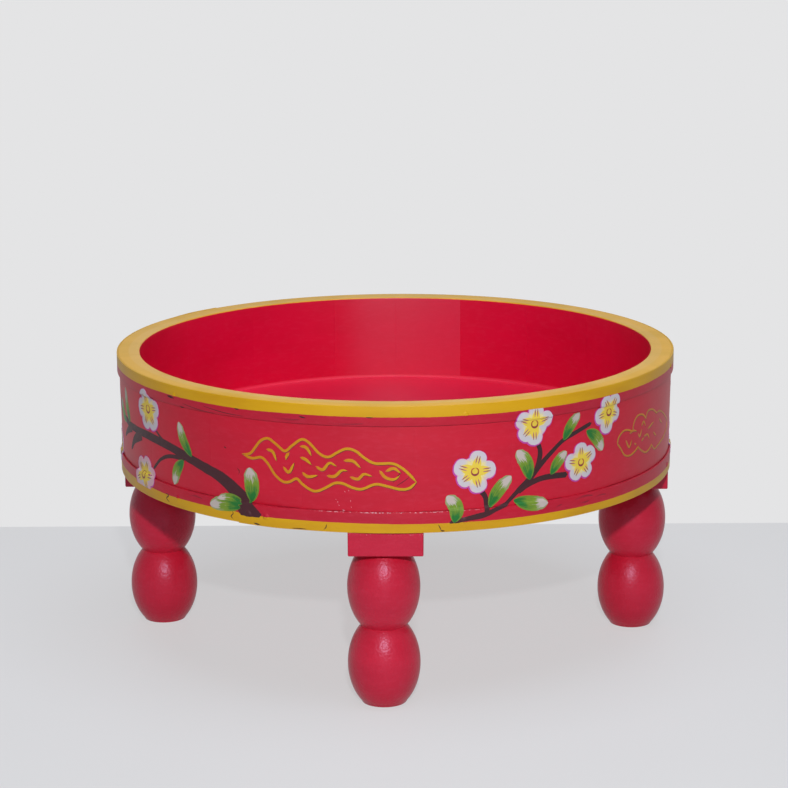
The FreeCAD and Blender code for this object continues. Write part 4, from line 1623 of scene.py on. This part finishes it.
@dataclass(frozen=True)
class Cloud:
    """A wavy gold outline with short curls inside.

    Attributes:
        name: the start of its pieces' names.
        outline: the long lines round it.
        curls: the short lines inside.
        width: of the long lines, in millimetres.
        kind: which of the painting's finishes its lines get.
        shade_growth: how much wider the dark line under them is, in millimetres.
        shade_shift: how far that is shifted, in millimetres.
    """

    name: str
    outline: tuple[tuple[Place, ...], ...]
    curls: tuple[tuple[Place, ...], ...]
    width: float = 2.6
    kind: str = "gold"
    shade_growth: float = 0.2
    shade_shift: Place = (0.35, -0.45)

    def shifted(self, name: str, along: float) -> "Cloud":
        """The same cloud farther round the wall."""
        shifted = (tuple(moved(line, along) for line in lines) for lines in (self.outline, self.curls))
        return Cloud(name, *shifted, self.width, self.kind)

    def lines(self, wall: Wall, widening: float, lift: float, offset: Place = (0, 0)) -> list[Shell]:
        """The outline and the curls, drawn wider and shifted for the dark line under them."""
        width = self.width + widening
        curl_widths = 0.9 * width, 1.2 * width, width, 0.4 * width
        shells = [wall.line(moved(side, *offset), width, lift, taper=0.03) for side in self.outline]
        for number, curl in enumerate(self.curls):
            shells.append(wall.tapered(moved(curl, *offset), curl_widths, lift, seed=number))
        return shells


LEFT_SPRAY = Spray(
    "left_spray",
    branches=(
        Branch(
            (
                (-143, 3), (-151, 13), (-164, 27), (-182, 40), (-204, 48), (-255, 60), (-299, 64),
                (-338, 64), (-366, 65), (-404, 73), (-440, 92),
            ),
            (23, 16, 11.5, 10, 9.5, 9, 8.5, 8, 7, 5.5, 3),
        ),
        Branch(((-262, 61), (-277, 67), (-291, 75)), (3.5, 2.2)),
        Branch(((-236, 53), (-262, 51), (-280, 44), (-296, 31)), (5, 4, 3)),
        Branch(((-322, 62), (-345, 51), (-358, 38)), (13, 9, 3)),
        Branch(((-352, 63), (-370, 56), (-385, 47)), (10, 7, 3)),
    ),
    leaves=(
        Leaf((-226, 57), (-245, 90), 12),
        Leaf((-239, 51), (-256, 23), 13, -0.1),
        Leaf((-149, 22), (-151, 57), 17, -0.04),
        Leaf((-158, 20), (-190, 21), 10, -0.06),
        Leaf((-160, 16), (-200, 13), 15, -0.05),
        Leaf((-359, 67), (-375, 101), 13),
        Leaf((-376, 64), (-404, 84), 13),
    ),
    flowers=(
        Flower((-302, 93), ((117, 21.5), (184, 24), (246, 23), (309, 24), (9, 22))),
        Flower((-316, 21), ((139, 21), (63, 21), (2, 24), (302, 21), (203, 22)), pink=True),
        Flower((-424, 30), ((100, 20), (172, 20), (244, 20), (316, 20), (28, 20))),
    ),
)

RIGHT_SPRAY = Spray(
    "right_spray",
    branches=(
        Branch(
            (
                (52, 9), (68, 12), (88, 15), (99, 19), (110, 23), (117, 29), (127, 38), (136, 45),
                (147, 57), (162, 70), (176, 80), (193, 86), (213, 92),
            ),
            (4.5, 4.5, 6, 4.5, 3.6, 5, 6.5, 6, 5, 4.6, 4.6, 4.4, 4),
        ),
        Branch(((90, 15), (90, 26), (88, 34), (81, 42)), (5, 5, 6)),
        Branch(((142, 50), (147, 63), (148, 73), (144, 84)), (5, 5.5, 5)),
        Branch(((123, 33), (137, 41), (155, 45), (182, 44)), (5, 6, 6)),
    ),
    leaves=(
        Leaf((57, 9), (50, 36), 15, -0.2),
        Leaf((93, 22), (116, 51), 14, 0.06),
        Leaf((137, 45), (122, 76), 15, -0.1),
        Leaf((119, 26), (157, 19), 15, -0.04),
        Leaf((176, 80), (196, 105), 12, 0.05),
        Leaf((206, 85), (230, 61), 14, 0.1),
        Leaf((161, 47), (180, 68), 12, 0.05),
    ),
    flowers=(
        Flower((78, 59), ((76, 21), (4, 21.5), (284, 22), (215, 20), (161, 22))),
        Flower((141, 101), ((18, 20.5), (88, 20), (160, 21.5), (223, 21), (272, 21.5))),
        Flower((238, 99), ((121, 19.5), (60, 20.5), (342, 17.5), (257, 22), (191, 20.5))),
        Flower((199, 54), ((91, 20), (29, 21.5), (310, 19), (238, 19.5), (171, 20.5))),
    ),
)

FRONT_CLOUD = Cloud(
    "front_cloud",
    outline=(
        (
            (-159, 70), (-149, 72), (-138, 85), (-129, 89), (-120, 84), (-111, 78), (-103, 84), (-93, 91),
            (-85, 88), (-75, 78), (-66, 75), (-57, 80), (-48, 84), (-39, 82), (-30, 75), (-20, 70),
            (-4, 70), (5, 66), (13, 59), (20, 51),
        ),
        (
            (-157, 69), (-147, 67), (-137, 69), (-130, 64), (-122, 53), (-114, 47), (-107, 47), (-99, 51),
            (-93, 46), (-85, 41), (-78, 40), (-69, 44), (-60, 49), (-52, 49), (-42, 45), (-33, 44),
            (-20, 49), (-8, 47), (4, 44), (13, 45), (20, 51),
        ),
    ),
    curls=(
        ((-131, 78), (-124, 76), (-120, 67)),
        ((-106, 77), (-109, 73), (-110, 69)),
        ((-113, 62), (-107, 57), (-101, 67)),
        ((-95, 84), (-88, 83), (-83, 75)),
        ((-95, 73), (-89, 71), (-83, 66)),
        ((-93, 58), (-87, 54), (-77, 56)),
        ((-79, 65), (-72, 62), (-65, 69), (-58, 66)),
        ((-68, 56), (-60, 56), (-53, 62), (-47, 62)),
        ((-51, 72), (-42, 72), (-34, 65)),
        ((-45, 56), (-37, 54), (-31, 59), (-23, 57)),
        ((-16, 63), (-10, 56), (-2, 54), (4, 58)),
        ((-10, 62), (-2, 65), (5, 60)),
    ),
)

RIGHT_CLOUD = Cloud(
    "right_cloud",
    outline=(
        ((254, 63), (256, 69), (263, 74), (272, 74), (283, 70)),
        ((282, 71), (285, 80), (292, 85), (303, 84), (312, 78)),
        ((311, 79), (316, 85), (329, 84), (343, 77)),
        ((342, 78), (355, 77), (374, 69), (392, 58), (388, 50), (368, 43)),
        ((254, 63), (260, 57), (267, 49), (277, 46), (287, 48), (296, 52)),
        ((295, 51), (303, 46), (313, 42), (322, 43), (330, 47)),
        ((329, 46), (338, 40), (350, 41), (368, 44)),
    ),
    curls=(
        ((276, 69), (283, 71), (291, 69)),
        ((269, 64), (276, 55), (281, 62)),
        ((286, 57), (291, 55)),
        ((301, 72), (306, 76), (311, 70)),
        ((317, 66), (325, 68), (333, 70)),
        ((352, 69), (364, 62)),
        ((294, 66), (298, 62), (302, 69)),
        ((302, 56), (308, 59)),
        ((307, 60), (317, 60), (322, 54)),
        ((333, 59), (343, 53)),
    ),
    width=1.9,
    kind="dull_gold",
)

# What the hidden side repeats, and how far round the wall from its first place, in millimetres
HIDDEN_SIDE: dict[str, tuple[Spray | Cloud, float]] = {
    "far_left_spray": (LEFT_SPRAY, 870),
    "back_cloud": (FRONT_CLOUD, 920),
    "far_right_spray": (RIGHT_SPRAY, 925),
    "far_cloud": (FRONT_CLOUD, 1380),
}


@dataclass(frozen=True)
class Scuff:
    """A short scratch or chip in the paint, or a crack along the end of a strap.

    Attributes:
        points: places along it.
        width: in millimetres.
        kind: which of the painting's finishes it gets.
    """

    points: tuple[Place, ...]
    width: float
    kind: str = "wear"

    def build(self, wall: Wall) -> Shell:
        """A thin ragged stroke."""
        widths = self.width * 0.5, self.width, self.width * 0.4
        return wall.tapered(self.points, widths, Layer.WEAR.value, seed=3)


SCUFFS = (
    Scuff(((-270, 11), (-264, 10), (-268, 6), (-263, 3)), 1.3),
    Scuff(((-172, 10.5), (-170.5, 8), (-173, 4.6), (-170, 2)), 1.1),
    Scuff(((-145, 2.4), (-141, 1.6), (-137, 1.4)), 1.6),
    Scuff(((-68, 8.2), (-69, 4.5), (-71.5, 1.3)), 1.0),
    Scuff(((41, 8.4), (43, 4.4), (44.5, 1.2)), 1.0),
    Scuff(((43, 1.6), (46, 1.4), (48, 1.2)), 1.4),
    Scuff(((-104, 1.2), (-96, 1.4), (-88, 1.1)), 0.9),
    Scuff(((-260, 115), (-253, 114.5), (-248, 114)), 2.4),
    Scuff(((-239, 107.5), (-235, 107), (-232, 107.5)), 1.2),
    Scuff(((-235, 111), (-212, 108.5), (-190, 107.5)), 0.6),
    Scuff(((-205, 113), (-179, 110), (-154, 109)), 0.7),
    Scuff(((-166, 116), (-162, 115.4), (-159, 115.8)), 1.3),
    Scuff(((-95, 114.8), (-91, 113.8), (-87, 113.2)), 1.4),
    Scuff(((-29, 116.4), (-25, 116), (-21, 116.3)), 1.0),
    Scuff(((-181, 75), (-180, 74), (-178, 73)), 1.8),
    Scuff(((-166, 55), (-163, 52), (-164, 48)), 0.8),
    Scuff(((6, 62), (1, 56), (-3, 50)), 0.8),
    Scuff(((190, 16.6), (204, 18.4), (216, 17.2)), 2.4, "smudge"),
    Scuff(((196, 13), (204, 12), (211, 13)), 1.8, "smudge"),
    Scuff(((218, 14.6), (227, 15.6), (236, 14.6)), 1.6, "smudge"),
    Scuff(((165, 12.6), (170, 14), (175, 15.2)), 1.6, "smudge"),
    Scuff(((-232, 16), (-221, 17.6), (-210, 16.4)), 1.6, "smudge"),
    Scuff(((-124, 112), (-108, 110.6), (-93, 111.2)), 2.0, "smudge"),
    Scuff(((-66, 110), (-49, 109), (-30, 110)), 1.6, "smudge"),
    Scuff(((-50.5, 41.5), (-49.5, 40)), 0.9, "chip"),
    Scuff(((-46.5, 42.6), (-45.6, 41)), 0.8, "chip"),
    Scuff(((-57.5, 31), (-57, 29)), 1.0, "chip"),
    Scuff(((-56.4, 27.5), (-55.6, 26)), 1.0, "chip"),
    Scuff(((-59.4, 33), (-58.6, 32.2)), 0.8, "chip"),
    Scuff(((-44.4, 33), (-44.6, 30)), 0.6, "chip"),
    Scuff(((-44, 26), (-43.6, 24.4)), 0.7, "chip"),
    Scuff(((-53, 22.6), (-49, 22)), 0.6, "chip"),
    Scuff(((0, 47), (9, 53), (14, 57)), 0.7),
)


@dataclass
class Painting:
    """Sprays and gold clouds by turns round the wall; the hidden side repeats the photographed one.

    Attributes:
        wall: what is painted.
        whole_zone: heights between which the scuffs lie, in millimetres.
        sharp_degrees: faces of a film that meet at more than this keep a sharp edge.
        pieces: the films that were built, by finish.
    """

    wall: Wall
    whole_zone: tuple[float, float] = (0.6, 126.4)
    sharp_degrees: float = 60
    pieces: dict[str, list[bpy.types.Object]] = field(default_factory=dict)

    def add(self, kind: str, name: str, shells: list[Shell]) -> None:
        """Makes a piece and files it under the finish that it gets."""
        self.pieces.setdefault(kind, []).append(make_piece(name, shells, self.sharp_degrees))

    def build_spray(self, spray: Spray) -> None:
        """One piece for each paint of a spray."""
        wall = self.wall
        self.add("bark", f"{spray.name}_branches", [b.build(wall, n) for n, b in enumerate(spray.branches)])
        self.add("leaf", f"{spray.name}_leaves", [leaf.build(wall) for leaf in spray.leaves])
        kinds: dict[str, Callable[[Flower], list[Shell]]] = {
            "lilac": lambda flower: flower.edging(wall),
            "star": lambda flower: flower.star(wall),
            "ring": lambda flower: flower.ring(wall),
            "mark": lambda flower: flower.marks(wall),
        }
        for kind, make in kinds.items():
            self.add(kind, f"{spray.name}_{kind}s", [shell for f in spray.flowers for shell in make(f)])
        for kind, pink in (("petal", False), ("blush", True)):
            petals = [f.outline(wall, 0, Layer.PETAL.value) for f in spray.flowers if f.pink == pink]
            if petals:
                self.add(kind, f"{spray.name}_{kind}s", sum(petals, []))

    def build_cloud(self, cloud: Cloud) -> None:
        """The gold lines, and a thin dark line that shows below and to the right of them."""
        shade = cloud.lines(self.wall, cloud.shade_growth, Layer.LINE_SHADE.value, cloud.shade_shift)
        self.add("shade", f"{cloud.name}_shade", shade)
        self.add(cloud.kind, f"{cloud.name}_lines", cloud.lines(self.wall, 0, Layer.LINE.value))

    def build(self) -> None:
        """Paints what the photograph shows, repeats it farther round, and scuffs the wall."""
        motifs = [LEFT_SPRAY, RIGHT_SPRAY, FRONT_CLOUD, RIGHT_CLOUD]
        motifs += [motif.shifted(name, along) for name, (motif, along) in HIDDEN_SIDE.items()]
        for motif in motifs:
            if isinstance(motif, Spray):
                self.build_spray(motif)
            else:
                self.build_cloud(motif)
        whole = Wall(self.wall.tub, red_zone=self.whole_zone)
        for kind in ("wear", "smudge", "chip"):
            self.add(kind, f"wall_{kind}s", [scuff.build(whole) for scuff in SCUFFS if scuff.kind == kind])

    def dress(self) -> None:
        """One kind of brushwork for each paint."""
        finishes = {
            "bark": Brushwork("bark_brown", ((0, Pot.BARK), (1, Pot.SOOT)), roughness=0.55),
            "leaf": Brushwork(
                "leaf_green",
                ((0.22, Pot.LEAF), (0.56, Pot.SPRING_LEAF), (0.6, Pot.SPRING_LEAF), (0.74, Pot.CHALK)),
                streak=0.8,
                rim=Pot.SPRING_LEAF,
                rim_from=0.6,
            ),
            "lilac": Brushwork("lilac_edge", ((0.4, Pot.LILAC), (0.6, Pot.MAGENTA))),
            "petal": Brushwork("petal_white", ((0.34, Pot.GLOW), (0.6, Pot.PETAL)), rim=Pot.BLUSH),
            "blush": Brushwork("petal_blush", ((0.2, Pot.PETAL), (0.8, Pot.BLUSH)), rim=Pot.BLUSH),
            "star": Brushwork("star_yellow", ((0.6, Pot.POLLEN), (1, Pot.PETAL)), streak=0.4),
            "ring": Brushwork(
                "ring_rust", ((0.2, Pot.RUST), (0.42, Pot.MAROON), (0.6, Pot.MAROON), (0.78, Pot.RUST))
            ),
            "mark": Brushwork("mark_plum", ((0, Pot.PLUM), (1, Pot.MAROON))),
            "gold": Brushwork("gold_line", ((0, Pot.GOLD), (1, Pot.OCHRE)), streak=0.6, roughness=0.42),
            "dull_gold": Brushwork("dull_gold_line", ((0, Pot.DULL_GOLD), (1, Pot.GOLD)), streak=0.6),
            "shade": Brushwork("dark_line", ((0, Pot.MAROON), (1, Pot.GRIME_AND_SHADE))),
            "wear": Brushwork("scuffed_ground", ((0, Pot.GRIME_AND_SHADE), (1, Pot.BARK)), roughness=0.7),
            "smudge": Brushwork("smudged_red", ((0, Pot.OLD_RED), (1, Pot.SOILED_RED)), streak=1.2),
            "chip": Brushwork("chalky_scratch", ((0, Pot.BLUSH), (1, Pot.PALE_RED)), roughness=0.7),
        }
        for kind, finish in finishes.items():
            cover(self.pieces[kind], finish.build())


# Camera, light and ground


@dataclass(frozen=True)
class Studio:
    """A plain pale floor and backdrop, soft lamps, and the photograph's camera.

    Lengths are in metres, angles in degrees, lamps in watts.

    Attributes:
        camera_back: distance of the camera in front of the tub's axis.
        camera_up: its height.
        lens: its focal length, in millimetres.
        pitch: its tilt, up from level.
        roll: its turn about its own line of sight.
        yaw: its turn to the right.
        half_width: of the floor and the backdrop.
        near: Y of the floor's front edge.
        back: Y of the backdrop.
        high: height of the backdrop.
        slab_back: Y behind which seen rays meet the floor as the plain background colour.
        background: that colour.
        sheet_tint: colour of the sheets under the lamps.
        sheet_mottle: how much darker that is in places.
        sheet_roughness: of the sheets.
        floor_share: share of the background colour that seen rays meet in front.
        aim_up: height that the lamps point at.
        key_place, key_size, key_power: of the small lamp beside the camera.
        overhead_place, overhead_size, overhead_power: of the large lamp over the table.
        cool: colour of the large lamp and of the ambient light.
        ambient_strength: of that light.
    """

    camera_back: float = 2.4983
    camera_up: float = 0.8256
    lens: float = 107.45
    pitch: float = -12.82
    roll: float = -0.32
    yaw: float = -0.035
    half_width: float = 12
    near: float = -12
    back: float = 6
    high: float = 5
    slab_back: float = 0.38
    background: tuple[int, int, int] = (228, 228, 229)
    sheet_tint: tuple[int, int, int] = (212, 213, 215)
    sheet_mottle: int = 6
    sheet_roughness: float = 0.6
    floor_share: float = 0.67
    aim_up: float = 0.17
    key_place: tuple[float, float, float] = (0.05, -2.437, 1.285)
    key_size: float = 0.07
    key_power: float = 37.4
    overhead_place: tuple[float, float, float] = (0.2, -0.35, 2.6)
    overhead_size: float = 1.8
    overhead_power: float = 39.5
    cool: tuple[int, int, int] = (232, 239, 255)
    ambient_strength: float = 0.01

    def camera(self) -> None:
        """Sets the camera with its axes worked out from pitch, roll and yaw."""
        pitch, roll, yaw = (math.radians(value) for value in (self.pitch, self.roll, self.yaw))
        ahead = np.array([math.sin(yaw) * math.cos(pitch), math.cos(yaw) * math.cos(pitch), math.sin(pitch)])
        right = np.array([math.cos(yaw), -math.sin(yaw), 0.0])
        above = np.cross(right, ahead)
        across = math.cos(roll) * right + math.sin(roll) * above
        upright = math.cos(roll) * above - math.sin(roll) * right
        data = bpy.data.cameras.new("camera")
        data.lens = self.lens
        camera = bpy.data.objects.new("camera", data)
        bpy.context.scene.collection.objects.link(camera)
        axes = np.stack([across, upright, -ahead], axis=1)
        placed = Matrix(axes.tolist()).to_4x4()
        placed.translation = (0, -self.camera_back, self.camera_up)
        camera.matrix_world = placed
        bpy.context.scene.camera = camera

    def lamp(self, name: str, place: Sequence[float], size: float, power: float) -> bpy.types.Light:
        """A square lamp turned towards the tub."""
        data = bpy.data.lights.new(name, "AREA")
        data.size = size
        data.energy = power
        lamp = bpy.data.objects.new(name, data)
        bpy.context.scene.collection.objects.link(lamp)
        lamp.rotation_mode = "QUATERNION"
        lamp.rotation_quaternion = (Vector(place) - Vector((0, 0, self.aim_up))).to_track_quat("Z", "Y")
        lamp.location = place
        return data

    def plane(self, name: str, corners: Sequence[tuple[float, float, float]]) -> None:
        """A flat sheet, which seen rays partly meet as the background colour, and wholly past the slab."""
        mesh = bpy.data.meshes.new(name)
        mesh.from_pydata(corners, [], [(0, 1, 2, 3)])
        sheet = bpy.data.objects.new(name, mesh)
        bpy.context.scene.collection.objects.link(sheet)
        graph = Graph(name)
        point = graph.point()
        darker = (value - self.sheet_mottle for value in self.sheet_tint)
        tint = graph.mix(graph.noise(point.place, Grain.FLOOR), paint(*self.sheet_tint), paint(*darker))
        behind = point.deep.over(self.slab_back - MM, self.slab_back + MM)
        share = behind * (1 - self.floor_share) + self.floor_share
        seen = paint(*self.background)
        finish = graph.finish_stage(share, seen, Base_Color=tint, Roughness=self.sheet_roughness)
        mesh.materials.append(finish)
        sheet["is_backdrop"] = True

    def sky(self) -> bpy.types.World:
        """Faint ambient light, which seen, mirrored and refracted rays meet as the background colour."""
        world = bpy.data.worlds.new("studio")
        world.use_nodes = True
        nodes, links = world.node_tree.nodes, world.node_tree.links
        ambient, seen = nodes["Background"], nodes.new("ShaderNodeBackground")
        ambient.inputs["Color"].default_value = paint(*self.cool)
        ambient.inputs["Strength"].default_value = self.ambient_strength
        seen.inputs["Color"].default_value = paint(*self.background)
        rays = nodes.new("ShaderNodeLightPath").outputs
        meets = rays["Is Camera Ray"]
        for kind in ("Is Glossy Ray", "Is Transmission Ray"):
            either = nodes.new("ShaderNodeMath")
            either.operation = "MAXIMUM"
            links.new(meets, either.inputs[0])
            links.new(rays[kind], either.inputs[1])
            meets = either.outputs[0]
        mixed = nodes.new("ShaderNodeMixShader")
        links.new(meets, mixed.inputs[0])
        links.new(ambient.outputs[0], mixed.inputs[1])
        links.new(seen.outputs[0], mixed.inputs[2])
        links.new(mixed.outputs[0], nodes["World Output"].inputs["Surface"])
        return world

    def build(self) -> None:
        """Sets the stage."""
        left, right = -self.half_width, self.half_width
        near, back, high = self.near, self.back, self.high
        floor = [(left, near, 0), (right, near, 0), (right, back, 0), (left, back, 0)]
        wall = [(left, back, 0), (right, back, 0), (right, back, high), (left, back, high)]
        self.plane("floor", floor)
        self.plane("backdrop", wall)
        self.lamp("key", self.key_place, self.key_size, self.key_power)
        overhead = self.lamp("overhead", self.overhead_place, self.overhead_size, self.overhead_power)
        overhead.color = paint(*self.cool)[:3]
        bpy.context.scene.world = self.sky()
        bpy.context.scene.view_settings.view_transform = "Standard"
        self.camera()


def main() -> None:
    """Builds and dresses the table in order, then sets the studio."""
    logging.basicConfig(level=logging.INFO, format="%(message)s")
    tub = Tub()
    tub.build()
    tub.dress()
    legs = Legs()
    legs.build(tub)
    legs.dress()
    Fasteners().dress(tub)
    painting = Painting(Wall(tub))
    painting.build()
    painting.dress()
    Studio().build()
    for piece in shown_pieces():
        LOG.info("%s: %d faces", piece.name, len(piece.data.polygons))


if __name__ == "__main__":
    main()
